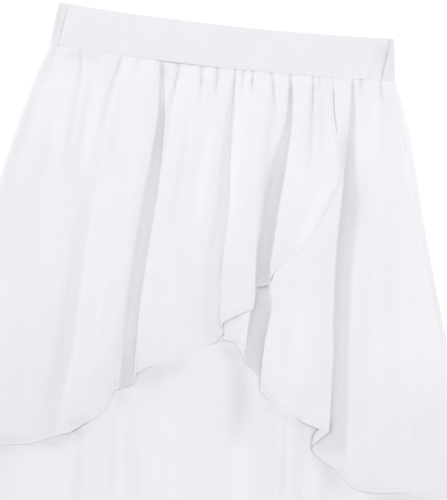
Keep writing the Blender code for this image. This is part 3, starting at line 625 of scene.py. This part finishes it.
def gathered(creases, across, down, top):
    """The rounded pipes of cloth between neighbouring gathers: the sine of the share of the way from one
    gather to the next, fading down the cloth."""
    starts = np.sort(creases["across"][creases["swell"] == 0])
    fan = across / (1 + FAN * (down - SEAM_MIDDLE))
    phase = np.interp(fan, starts, np.arange(len(starts)))
    pipe = np.sin(np.pi * (phase % 1)) ** PIPE_POWER
    return PIPE_HEIGHT * pipe * np.exp(-np.maximum(down - top, 0) / PIPE_LENGTH)


class Petal:
    """One front petal: its fold lines, hem, creases and patches of painted shade and highlight, its level
    over the under-skirt's waves, and whether the other petal covers it or it has the free edge that shows."""

    def __init__(self, lines, hem, creases, painted_shading, level, covered, free_edge):
        """Keeps the tables, and works out the places of the hem's points and the evened slant there: the
        root of one and the hem's slope squared."""
        self.lines, self.hem, self.creases, self.painted_shading = lines, hem, creases, painted_shading
        self.level, self.covered, self.free_edge = level, covered, free_edge
        self.hem_places = place_of(lines, hem["across"], hem["down"])
        slant = np.clip(np.hypot(1, np.gradient(hem["down"], hem["across"])), 1, SLANT_MOST)
        for _ in range(2):
            slant = np.convolve(np.pad(slant, 1, mode="edge"), SMOOTH, mode="valid")
        self.hem = dict(hem, slant=slant)

    def along_hem(self, name, place):
        """A column of the hem's table at a place on the fold lines."""
        return np.interp(place, self.hem_places, self.hem[name])

    def top_down(self, place):
        """Where the gathered seam is at a place."""
        return seam_down(petal_at(self.lines, place, np.full_like(place, SEAM_MIDDLE), steep=0.0)[0])

    def folds(self, place, down):
        """Across, height and painted shade of the folds, which are wider, softer and lower where the other
        petal covers them."""
        if not self.covered:
            return petal_at(self.lines, place, down)
        nest = covered_nest(down)
        plain = petal_at(self.lines, place, down, nest, 0.0)[0]
        beside = plain > column("left petal's edge", "across", down) - STEEP_BESIDE
        steep = np.where(beside, 1.0, np.clip((down - STEEP_FROM) / STEEP_OVER, 0, 1))
        across, relief, painted_shade = petal_at_blend(self.lines, place, down, nest, steep)
        under = through(*COVERED.values(), down)
        return across, relief * (under + (1 - under) * uncovered_share(across, down)), painted_shade

    def at_seam(self, across):
        """Height of the cloth where it runs in under the band."""
        lower = SEAM_LOWER * (1 - ease((across - SEAM_LOWER_ENDS) / SEAM_LOWER_FADE)) if self.covered else 0.0
        return BAND_FACE - seam_gap(across) - lower

    def surface(self, place, down, slant):
        """Across, height and painted shade: the folds and the pipes of the gathers, less the creases;
        swelling from the seam, sinking towards the hem, turning down at the very edge and at the skirt's
        side. The painted shade grows towards the lower left and on a turned edge, with patches of painted
        shade and highlight."""
        across, relief, painted_shade = self.folds(place, down)
        # painted shade, darker towards the lower left, with patches of painted shade and painted highlight
        lower_left_shade = ease((down - LOWER_LEFT_SHADE_DOWN[0]) / LOWER_LEFT_SHADE_DOWN[1]) * ease((LOWER_LEFT_SHADE_ACROSS[0] - across) / LOWER_LEFT_SHADE_ACROSS[1])
        painted_shade = painted_shade + (1 - painted_shade) * LOWER_LEFT_SHADE * lower_left_shade + creased(self.painted_shading, across, down)
        from_hem = self.along_hem("down", place) - down
        top = self.top_down(place)
        dips = creased(self.creases, across, down)
        relief = relief + gathered(self.creases, across, down, top)
        floor = 3 * LAYER + wave_height(down) + SLACK + self.level
        height = floor + np.maximum(relief - dips, FOLD_KEEPS * relief - FOLD_DIP)

        fall = ease(1 - from_hem / (DROOP * self.along_hem("slant", place)))
        sink = (1 - self.along_hem("stand", place)) * fall
        height = height * (1 - sink) + (under_height(across, down) + HEM_CLEAR) * sink

        uneven = sum(share * np.sin(across / length + begin) for share, length, begin in PUFF_WAVES)
        swell = PUFF * (1 + uneven)
        puff = ease((down - top) / swell + PUFF_START)
        seam = self.at_seam(across)
        height = seam + (height - seam) * puff - np.minimum(dips, SEAM_DIP) * (1 - puff) * SEAM_DIP_SHARE

        edge = from_hem / slant
        turn = self.along_hem("turn", place)
        height = height - turn * ease(1 - edge / HEM_TURNS) + rolled_hem(edge)
        # painted shade on an edge that turns down
        shade = TURN_PAINTED_SHADE * np.maximum(turn - 1, 0) * ease((TURN_SHADE - edge) / TURN_SHADE_ENDS)
        painted_shade = np.maximum(painted_shade, shade)
        if self.free_edge:
            beside = (len(self.lines) - 1 - place) / FLAT_SHARE * column(self.lines[-1], "left", down)
            height = height - EDGE_FALLS * ease(1 - beside / EDGE_FALL_WIDTH)
            height = height + rolled_hem(beside) * ease((edge - HEM) / 2)
        if self.lines[0] == "left side":
            height = rolled_side(height, across - column("left side", "across", down))
        if self.lines[-1] == "right side":
            height = rolled_side(height, column("right side", "across", down) - across)
        return across, height, painted_shade


# Cloth and thread materials

def principled(name, colour, roughness, sheen, specular):
    """A white cloth finish whose weave and fibre tone are added by the caller."""
    made = bpy.data.materials.new(name)
    made.use_nodes = True
    shader = made.node_tree.nodes["Principled BSDF"]
    shader.inputs["Base Color"].default_value = (*colour, 1)
    shader.inputs["Roughness"].default_value = roughness
    shader.inputs["Sheen Weight"].default_value = sheen
    shader.inputs["Sheen Roughness"].default_value = 0.5
    shader.inputs["Specular IOR Level"].default_value = specular
    return made, shader


def node(tree, kind, values=(), **settings):
    """A new node with its settings, and its sockets' values by name or number."""
    made = tree.nodes.new(kind)
    for name, value in settings.items():
        setattr(made, name, value)
    for socket, value in dict(values).items():
        made.inputs[socket].default_value = value
    return made


def sine_threads(tree, source, pitch):
    """A wave whose crests are one thread apart: the sine of a length times two pi over the pitch."""
    turn = node(tree, "ShaderNodeMath", {1: 2 * np.pi / pitch}, operation="MULTIPLY")
    wave = node(tree, "ShaderNodeMath", operation="SINE")
    tree.links.new(source, turn.inputs[0])
    tree.links.new(turn.outputs[0], wave.inputs[0])
    return wave.outputs[0]


def chiffon(name, colour, roughness=0.75, thread=0.0004, weave=0.00002, crepe=0.00012):
    """Plain weave of fine crepe threads: warp and weft waves multiplied on the cloth's own UV map in
    metres, on slow puckers, with threads that differ a little in tone. A point attribute of painted shade
    darkens its colour where shade falls, in troughs, tucks and under hems: a Mix node's colours are its
    sockets 6 and 7, and its result is 2."""
    made, shader = principled(name, colour, roughness, 0.2, 0.25)
    tree = made.node_tree
    uv = node(tree, "ShaderNodeUVMap", uv_map="cut")
    parts = node(tree, "ShaderNodeSeparateXYZ")
    tree.links.new(uv.outputs["UV"], parts.inputs[0])
    cross = node(tree, "ShaderNodeMath", operation="MULTIPLY")
    tree.links.new(sine_threads(tree, parts.outputs["X"], thread), cross.inputs[0])
    tree.links.new(sine_threads(tree, parts.outputs["Y"], thread), cross.inputs[1])
    place = node(tree, "ShaderNodeTexCoord")
    puckers = node(tree, "ShaderNodeTexNoise", {"Scale": 160.0, "Detail": 3.0, "Roughness": 0.6})
    tree.links.new(place.outputs["Object"], puckers.inputs["Vector"])
    fine = node(tree, "ShaderNodeBump", {"Strength": 1.0, "Distance": weave})
    tree.links.new(cross.outputs[0], fine.inputs["Height"])
    slow = node(tree, "ShaderNodeBump", {"Strength": 1.0, "Distance": crepe})
    tree.links.new(puckers.outputs["Fac"], slow.inputs["Height"])
    tree.links.new(fine.outputs["Normal"], slow.inputs["Normal"])
    tree.links.new(slow.outputs["Normal"], shader.inputs["Normal"])
    slubs = node(tree, "ShaderNodeTexNoise", {"Scale": 45.0, "Detail": 2.0})
    tree.links.new(place.outputs["Object"], slubs.inputs["Vector"])
    tone = node(tree, "ShaderNodeValToRGB")
    tone.color_ramp.elements[0].color = (*(c * 0.985 for c in colour), 1)
    tone.color_ramp.elements[1].color = (*(min(1, c * 1.012) for c in colour), 1)
    tree.links.new(slubs.outputs["Fac"], tone.inputs["Fac"])
    # painted shade from the point attribute darkens the colour
    painted_shade = node(tree, "ShaderNodeAttribute", attribute_name="painted_shade")
    greyest = 1 - PAINTED_SHADE_MOST * (1 - PAINTED_SHADE_TONE)
    shade_mix = node(tree, "ShaderNodeMix", {7: (greyest,) * 3 + (1,)}, data_type="RGBA", blend_type="MULTIPLY")
    tree.links.new(painted_shade.outputs["Fac"], shade_mix.inputs["Factor"])
    tree.links.new(tone.outputs["Color"], shade_mix.inputs[6])
    tree.links.new(shade_mix.outputs[2], shader.inputs["Base Color"])
    return made


def mesh_piece(name, points, faces, finish, uv=None):
    """A mesh object at the origin from points in metres, shaded smooth, with its cut as a UV map."""
    mesh = bpy.data.meshes.new(name)
    mesh.from_pydata(points.reshape(-1, 3), [], faces)
    mesh.update()
    mesh.shade_smooth()
    mesh.materials.append(finish)
    if uv is not None:
        corners = np.empty(len(mesh.loops), np.int32)
        mesh.loops.foreach_get("vertex_index", corners)
        layer = mesh.uv_layers.new(name="cut")
        layer.data.foreach_set("uv", uv.reshape(-1, 2)[corners].ravel())
    piece = bpy.data.objects.new(name, mesh)
    bpy.context.scene.collection.objects.link(piece)
    return piece


def grid_faces(rows, columns):
    """Quads of a grid whose rows run down the garment and columns to the right, facing up."""
    k = np.arange(rows * columns).reshape(rows, columns)
    return np.stack([k[:-1, :-1], k[1:, :-1], k[1:, 1:], k[:-1, 1:]], -1).reshape(-1, 4)


# The middle of the waist in the part's frame, from the band's own box
_low, _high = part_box("waistband_back")
MIDDLE_ACROSS = -(_low.x + _high.x) / 2 / MM
MIDDLE_DOWN = _high.y / MM + band_top_down(BAND_TOP_HALF)


def in_frame(across, down, height):
    """Millimetres on the laid garment to metres in the part's frame."""
    return np.stack([across - MIDDLE_ACROSS, MIDDLE_DOWN - down, height], axis=-1) * MM


def cloth_piece(name, node_name, across, down, height, finish, thickness=CLOTH, offset=0.0):
    """A sheet through a grid of points, with its thickness by Solidify and the cut's lengths as UV."""
    points = in_frame(across, down, height)
    step = np.linalg.norm(np.diff(points, axis=1), axis=2)
    u = np.concatenate([np.zeros((len(points), 1)), np.cumsum(step, axis=1)], axis=1)
    u = np.broadcast_to(u.mean(axis=0), u.shape)
    uv = np.stack([u, -down * MM], axis=-1)
    piece = mesh_piece(name, points, grid_faces(*across.shape), finish, uv)
    wall = piece.modifiers.new("thickness", "SOLIDIFY")
    wall.thickness = thickness * MM
    wall.offset = offset
    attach(piece, "root")
    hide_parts(node_name)
    return piece


def store_painted_shade(piece, painted_shade):
    """The painted shade of each point as an attribute that the finish reads to darken its colour."""
    layer = piece.data.attributes.new("painted_shade", "FLOAT", "POINT")
    share = np.clip(painted_shade / PAINTED_SHADE_MOST, 0, 1)
    layer.data.foreach_set("value", share.astype(np.float32).ravel())


def petal_rows(hem_down, top_down, slant, count, denser=1.3):
    """Rows from the seam to the hem, denser at the gathers by a power of even shares, with the turned hem's
    own rows last."""
    share = (np.linspace(0, 1, count) ** denser)[:, None]
    upper = top_down + (hem_down - HEM_TURNS * slant - top_down) * share
    return np.concatenate([upper, hem_down - HEM_STEPS[:, None] * slant])


def place_columns(counts, side_count):
    """Places across a petal: each interval has its sides' columns and its crown's own count."""
    side = np.linspace(0, FLAT_SHARE, side_count + 1)
    columns = []
    for number, count in enumerate(counts):
        crown = np.linspace(FLAT_SHARE, 1 - FLAT_SHARE, count + 2)[1:-1]
        columns += [number + side, number + crown, number + 1 - side[::-1][:-1]]
    return np.concatenate([*columns, [len(counts)]])


def front_petal(name, node_name, petal, finish, counts, side_count=12, rows=142):
    """A front petal's sheet on its grid of places and rows. counts are its columns over each crown."""
    places = place_columns(counts, side_count)
    slant = hem_width_down(petal.hem, places, petal.hem_places)
    down = petal_rows(petal.along_hem("down", places), petal.top_down(places), slant, rows)
    place = np.broadcast_to(places, down.shape)
    across, height, painted_shade = petal.surface(place, down, np.broadcast_to(slant, down.shape))
    piece = cloth_piece(name, node_name, across, down, height, finish)
    store_painted_shade(piece, painted_shade)
    return piece


# Stitches

def bars(name, starts, ends, radius, finish, sides=5):
    """Short round bars from starts to ends, joined in one mesh: each has a ring near both ends and a point
    at each end. A ring is a circle across the bar at an even spacing of angles."""
    along = ends - starts
    length = np.linalg.norm(along, axis=1, keepdims=True)
    along = along / length
    up = np.array([0.0, 0.0, 1.0]) - along * along[:, 2:3]
    up /= np.linalg.norm(up, axis=1, keepdims=True)
    beside = np.cross(along, up)
    angle = np.linspace(0, 2 * np.pi, sides, endpoint=False)
    cosine, sine = np.cos(angle)[None, :, None], np.sin(angle)[None, :, None]
    ring = (cosine * beside[:, None] + sine * up[:, None]) * radius
    inset = along * np.minimum(radius, 0.3 * length)
    first, second = ring + (starts + inset)[:, None], ring + (ends - inset)[:, None]
    points = np.concatenate([first, second, starts[:, None], ends[:, None]], axis=1)
    base = (np.arange(len(starts)) * (2 * sides + 2))[:, None]
    k = np.arange(sides)
    following = (k + 1) % sides
    wall = np.stack([k, k + sides, following + sides, following], -1)
    head = np.stack([k, following, np.full(sides, 2 * sides)], -1)
    tail = np.stack([following + sides, k + sides, np.full(sides, 2 * sides + 1)], -1)
    faces = [tuple(f) for part in (wall, head, tail)
             for f in (part[None] + base[:, :, None]).reshape(-1, part.shape[1])]
    return mesh_piece(name, points, faces, finish)


def stitch_line(name, route, finish):
    """Stitches along a route in millimetres, an even pitch apart along its length."""
    steps = np.linalg.norm(np.diff(route, axis=0), axis=1)
    length = np.concatenate([[0], np.cumsum(steps)])
    heads = np.arange(0.5 * STITCH_PITCH, length[-1] - STITCH_LENGTH, STITCH_PITCH)
    starts, ends = (np.stack([np.interp(where, length, route[:, k]) for k in range(3)], -1)
                    for where in (heads, heads + STITCH_LENGTH))
    starts[:, 2] += STITCH_LIFT
    ends[:, 2] += STITCH_LIFT
    return bars(name, in_frame(*starts.T), in_frame(*ends.T), THREAD * MM, finish)


def petal_hem_route(petal, first, last, count=700):
    """The stitch line of a petal's hem on its surface."""
    places = np.linspace(first, last, count)
    slant = hem_width_down(petal.hem, places, petal.hem_places)
    down = petal.along_hem("down", places) - STITCH_IN * slant
    across, height, _ = petal.surface(places, down, slant)
    return np.stack([across, down, height + CLOTH / 2], -1)


# Pieces

def band_seam_in(inset, share):
    """How far in from the band's end its side seam runs, even from the top's value to the bottom's."""
    return inset[0] + (inset[1] - inset[0]) * share


def band_half(share):
    """Half of the band's width, growing evenly from its top to its seam."""
    return BAND_TOP_HALF + BAND_FLARE * share


def band_down(across, share):
    """Down at a share of the way from the band's top edge to its seam."""
    return band_top_down(across) * (1 - share) + seam_down(across) * share


def band_rows(edge, inner, count):
    """Shares of the way down the band: its edges' own rows, and even ones from inner to inner."""
    even = np.linspace(inner, BAND_HEIGHT - inner, count)
    return np.concatenate([edge, even, BAND_HEIGHT - np.array(edge[::-1])]) / BAND_HEIGHT


def band_rounding(share):
    """0 on the band's flat to 1 at its two edges: one less a quarter of a circle."""
    edge = np.minimum(share, 1 - share) * BAND_HEIGHT
    return 1 - np.sqrt(1 - (1 - np.clip(edge / BAND_ROUND, 0, 1)) ** 2)


def band_face(across, down, share):
    """Height of the front leaf's face over its flat: rounded at its two edges, the elastic's ribs where the
    casing lies tight on them, and the soft creases at both ends. share runs down the band."""
    drop = np.where(share < 0.5, TOP_DROP, SEAM_DROP + SEAM_GAP_SHARE * seam_gap(across))
    tight = RIBS_ALL_OVER
    for place, shift, half, more in RIB_PLACES:
        tight = tight + more * np.exp(-((across - place - shift * share) / half) ** 2)
    fade = ease(np.minimum(share, 1 - share) * BAND_HEIGHT / RIBS_FADE)
    ribs = RIB_HEIGHT * tight * np.sin(2 * np.pi * share * BAND_HEIGHT / RIB_PITCH) * fade
    return ribs - drop * band_rounding(share) - creased(BAND_CREASES, across, down)


def waistband_front(finish, columns=330):
    """The front leaf of the band between the side seams."""
    rows = band_rows([0, 0.12, 0.35, 0.7, 1.1, 1.6], 2.2, 84)
    share, turn = np.meshgrid(rows, np.linspace(0, 1, columns), indexing="ij")
    half = band_half(share)
    left, right = band_seam_in(LEFT_SEAM_IN, share) - half, half - band_seam_in(RIGHT_SEAM_IN, share)
    across = left + (right - left) * turn
    down = band_down(across, share)
    height = BAND_FACE + band_face(across, down, share)
    piece = cloth_piece("band_front", "waistband_front", across, down, height, finish,
                        thickness=FRONT_WALL, offset=-1.0)
    # painted shade at the band's ends
    store_painted_shade(piece, creased(BAND_PAINTED_SHADING, across, down))
    return piece


def waistband_back(finish, columns=158, flap_columns=16, bend_columns=25):
    """The back leaf: its outer face follows the surface, turns up round both ends of the band in half a
    circle and ends at the side seams on the front."""
    bend = BAND_LEAF + LEAF_GAP / 2
    share = band_rows([0, 0.15, 0.5, 1.0, 1.6], 2.5, 40)[:, None]
    half = band_half(share)
    angle = np.radians(np.linspace(90, -90, bend_columns))
    flap = np.linspace(1, 0.05, flap_columns)
    level = np.ones_like(share)

    def end(inset, clear=0.1):
        """Distance in from the band's end and height, from the side seam to the start of the underside."""
        flap_in = bend + flap * (band_seam_in(inset, share) - clear - bend)
        inward = np.concatenate([flap_in, level * (bend - bend * np.cos(angle))], axis=1)
        height = np.concatenate([2 * bend + 0 * flap_in, level * (bend + bend * np.sin(angle))], axis=1)
        return inward, height

    right_in, right_height = end(RIGHT_SEAM_IN)
    left_in, left_height = end(LEFT_SEAM_IN)
    middle = level * np.linspace(1, -1, columns + 2)[1:-1] * (half - bend)
    across = np.concatenate([half - right_in, middle, left_in[:, ::-1] - half], axis=1)
    height = np.concatenate([right_height, 0 * middle, left_height[:, ::-1]], axis=1)
    down = band_down(across, share)
    above = height > bend
    inward = band_rounding(share) * np.where((share > 0.5) & above, FLAP_TURNS_IN, BACK_TURNS_IN)
    height = bend + (height - bend) * (1 - inward / bend)
    height = height - np.where(above, creased(BAND_CREASES, across, down), 0)
    piece = cloth_piece("band_back", "waistband_back", across, down, height, finish,
                        thickness=BACK_WALL, offset=-1.0)
    # painted shade at the band's ends, on the flaps that show
    store_painted_shade(piece, creased(BAND_PAINTED_SHADING, across, down) * (height > bend))
    return piece


def over_back(finish, columns=110):
    """The over-skirt's back, flat on the surface less its faint creases, with the hem's own rows last. Its
    sides slant, so across and down settle in rounds."""
    rows = np.concatenate([np.linspace(0, 0.985, 70), [0.99, 0.993, 0.996, 1.0]])
    share, turn = np.meshgrid(rows, np.linspace(0, 1, columns), indexing="ij")
    down = SEAM_MIDDLE + (BACK_HEM_MIDDLE - SEAM_MIDDLE) * share
    for _ in range(4):
        left, right = column("left side", "across", down), column("right side", "across", down)
        across = left + (right - left) * turn
        top = seam_down(across)
        down = top + (back_hem(across) - top) * share
    hem = ease(1 - (back_hem(across) - down - HEM) / HEM_ROLL)
    height = np.maximum(BACK_MIDDLE - creased(BACK_CREASES, across, down), BACK_LOWEST) + BACK_HEM_LIFT * hem
    return cloth_piece("over_skirt_back", "over_back", across, down, height, finish)


def under_across(place, down):
    """Across of the under-skirt's panels: place counts its wave lines, straight between two of them."""
    lines = wave_lines(down)
    k = np.clip(np.floor(place).astype(int), 0, len(WAVES) - 2)
    share = place - k
    pick = np.indices(place.shape)
    return lines[k, pick[0], pick[1]] * (1 - share) + lines[k + 1, pick[0], pick[1]] * share


def under_surface(place, share, front):
    """Across, down and height of an under-skirt panel. share runs from the seam to the hem. Its sides slant,
    so across and down settle in rounds."""
    down = np.full(place.shape, SEAM_MIDDLE)
    for _ in range(5):
        across = under_across(place, down)
        top = seam_down(across)
        down = top + (under_hem(across) - top) * share
    height = under_height(across, down, front)
    return across, down, height + rolled_hem(under_hem(across) - down) * UNDER_HEM_SHARE


def under_rows(count, above_hem=9.0):
    """Shares of an under-skirt panel's length: even rows to just above the hem, and the hem's own."""
    length = UNDER_HEM_MIDDLE - SEAM_MIDDLE
    return np.concatenate([np.linspace(0, 1 - above_hem / length, count), 1 - HEM_STEPS / length])


def under_panel(name, node_name, finish, columns, rows, front):
    """A panel of the under-skirt on an even grid of places, the front one with its patches of painted shade.
    """
    place, share = np.meshgrid(np.linspace(0, len(WAVES) - 1, columns), under_rows(rows))
    across, down, height = under_surface(place, share, front)
    piece = cloth_piece(name, node_name, across, down, height, finish)
    if front:
        # painted shade, most of it the petals' shadow below their hems
        store_painted_shade(piece, creased(UNDER_PAINTED_SHADE, across, down))
    return piece


def under_hem_route(margin=0.05, count=900):
    """The stitch line of the under-skirt's front hem on its surface."""
    places = np.linspace(margin, len(WAVES) - 1 - margin, count)[None, :]
    share = np.full(places.shape, 1 - STITCH_IN / (UNDER_HEM_MIDDLE - SEAM_MIDDLE))
    across, down, height = under_surface(places, share, True)
    return np.stack([across[0], down[0], height[0] + CLOTH / 2], -1)


def side_seam_zigzag(finish):
    """The overlock thread that shows at the right side seam of the band: bars from side to side of the
    seam, wide at the waist and like a ladder's rungs further down."""
    share = np.linspace(*OVERLOCK_RUN, OVERLOCK_BARS)
    seam = band_half(share) - band_seam_in(RIGHT_SEAM_IN, share)
    across = seam + np.where(np.arange(OVERLOCK_BARS) % 2 == 0, *OVERLOCK_SIDES)
    down = band_down(across, share)
    height = BAND_FACE + OVERLOCK_LIFT - creased(BAND_CREASES, across, down)
    points = in_frame(across, down, height)
    return bars("side_seam_overlock", points[:-1], points[1:], OVERLOCK_THREAD * MM, finish)


# Stage

def stage():
    """A plain white floor, a bright and nearly even sky, and one weak soft light, low from the left."""
    size, drop = 40.0, 0.0004
    corners = np.array([(-size, -size), (size, -size), (size, size), (-size, size)])
    corners = np.concatenate([corners, np.full((4, 1), -drop)], axis=1)
    floor_finish, shader = principled("white floor", (0.93,) * 3, roughness=1.0, sheen=0.0, specular=0.0)
    shader.inputs["Emission Color"].default_value = (1, 1, 1, 1)
    shader.inputs["Emission Strength"].default_value = FLOOR_GLOW
    floor = mesh_piece("floor", corners, [(0, 1, 2, 3)], floor_finish)

    world = bpy.data.worlds.new("soft white room")
    world.use_nodes = True
    tree = world.node_tree
    up = node(tree, "ShaderNodeTexCoord")
    parts = node(tree, "ShaderNodeSeparateXYZ")
    bright = node(tree, "ShaderNodeMapRange", {1: 0.0, 2: 1.0, 3: SKY_LOW, 4: SKY_HIGH})
    tree.links.new(up.outputs["Generated"], parts.inputs[0])
    tree.links.new(parts.outputs["Z"], bright.inputs["Value"])
    tree.links.new(bright.outputs["Result"], tree.nodes["Background"].inputs["Strength"])
    tree.nodes["Background"].inputs["Color"].default_value = (1, 1, 1, 1)
    bpy.context.scene.world = world

    lamp = bpy.data.lights.new("soft light", "SUN")
    lamp.energy, lamp.angle = SUN_ENERGY, SUN_ANGLE
    sun = bpy.data.objects.new("soft light", lamp)
    sun.rotation_euler = SUN_TURN
    bpy.context.scene.collection.objects.link(sun)
    bpy.context.scene.view_settings.view_transform = "Standard"


def photo_to_frame(x, y, height):
    """The point of the part's frame at a pixel of the photograph, on a level."""
    right, below = x - WAIST_PIXEL[0], y - WAIST_PIXEL[1]
    across = (right * np.cos(TURN) + below * np.sin(TURN)) * PIXEL
    down = (below * np.cos(TURN) - right * np.sin(TURN)) * PIXEL
    return in_frame(across, down, height)


def camera():
    """Straight above the middle of the photograph, through a long lens, with the photograph's turn."""
    level = 8.0
    lens, sensor = 200.0, 36.0
    data = bpy.data.cameras.new("camera")
    data.lens, data.sensor_width = lens, sensor
    eye = bpy.data.objects.new("camera", data)
    middle = photo_to_frame(PIXELS_WIDE / 2, PIXELS_HIGH / 2, level)
    distance = PIXELS_HIGH * PIXEL * MM * lens / sensor
    eye.location = (middle[0], middle[1], middle[2] + distance)
    eye.rotation_euler = (0, 0, TURN)
    data.clip_start, data.clip_end = 0.1, 100.0
    bpy.context.scene.collection.objects.link(eye)
    bpy.context.scene.camera = eye


def follow(piece):
    """Sewing rides with the cloth."""
    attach(piece, "root")
    return piece


def dress():
    """Every piece of the skirt with its finish, and what each sheet of cloth was cut to."""
    over = chiffon("over-skirt chiffon", (0.851, 0.845, 0.884))
    under = chiffon("under-skirt chiffon", (0.791, 0.785, 0.822), roughness=0.8)
    casing = chiffon("casing chiffon", (0.795, 0.791, 0.826), roughness=0.7, crepe=0.00005)
    thread = principled("white thread", (0.84, 0.84, 0.87), roughness=0.6, sheen=0.2, specular=0.3)[0]

    left = Petal(LEFT_PETAL, LEFT_PETAL_HEM, LEFT_CREASES, LEFT_PAINTED_SHADING,
                 level=LAYER + SLACK, covered=False, free_edge=True)
    right = Petal(RIGHT_PETAL, RIGHT_PETAL_HEM, RIGHT_CREASES, RIGHT_PAINTED_SHADING,
                  level=0.0, covered=True, free_edge=False)
    left_piece = front_petal("left_petal", "over_front_left", left, over, counts=(44, 26, 48, 36, 24))
    right_piece = front_petal("right_petal", "over_front_right", right, over, counts=(12, 22, 36, 44, 74))
    back_piece = over_back(over)
    under_front = under_panel("under_skirt_front", "under_front", under, columns=300, rows=130, front=True)
    under_back = under_panel("under_skirt_back", "under_back", under, columns=120, rows=90, front=False)
    band_front, band_back = waistband_front(casing), waistband_back(casing)

    last = len(LEFT_PETAL) - 1
    left_route = petal_hem_route(left, 0.02, last - 0.05)
    right_route = petal_hem_route(right, 0.3, last - 0.02)
    left_stitches = follow(stitch_line("hem_stitches_left", left_route, thread))
    right_stitches = follow(stitch_line("hem_stitches_right", right_route, thread))
    under_stitches = follow(stitch_line("hem_stitches_under", under_hem_route(), thread))
    overlock = follow(side_seam_zigzag(thread))


camera()
dress()
stage()
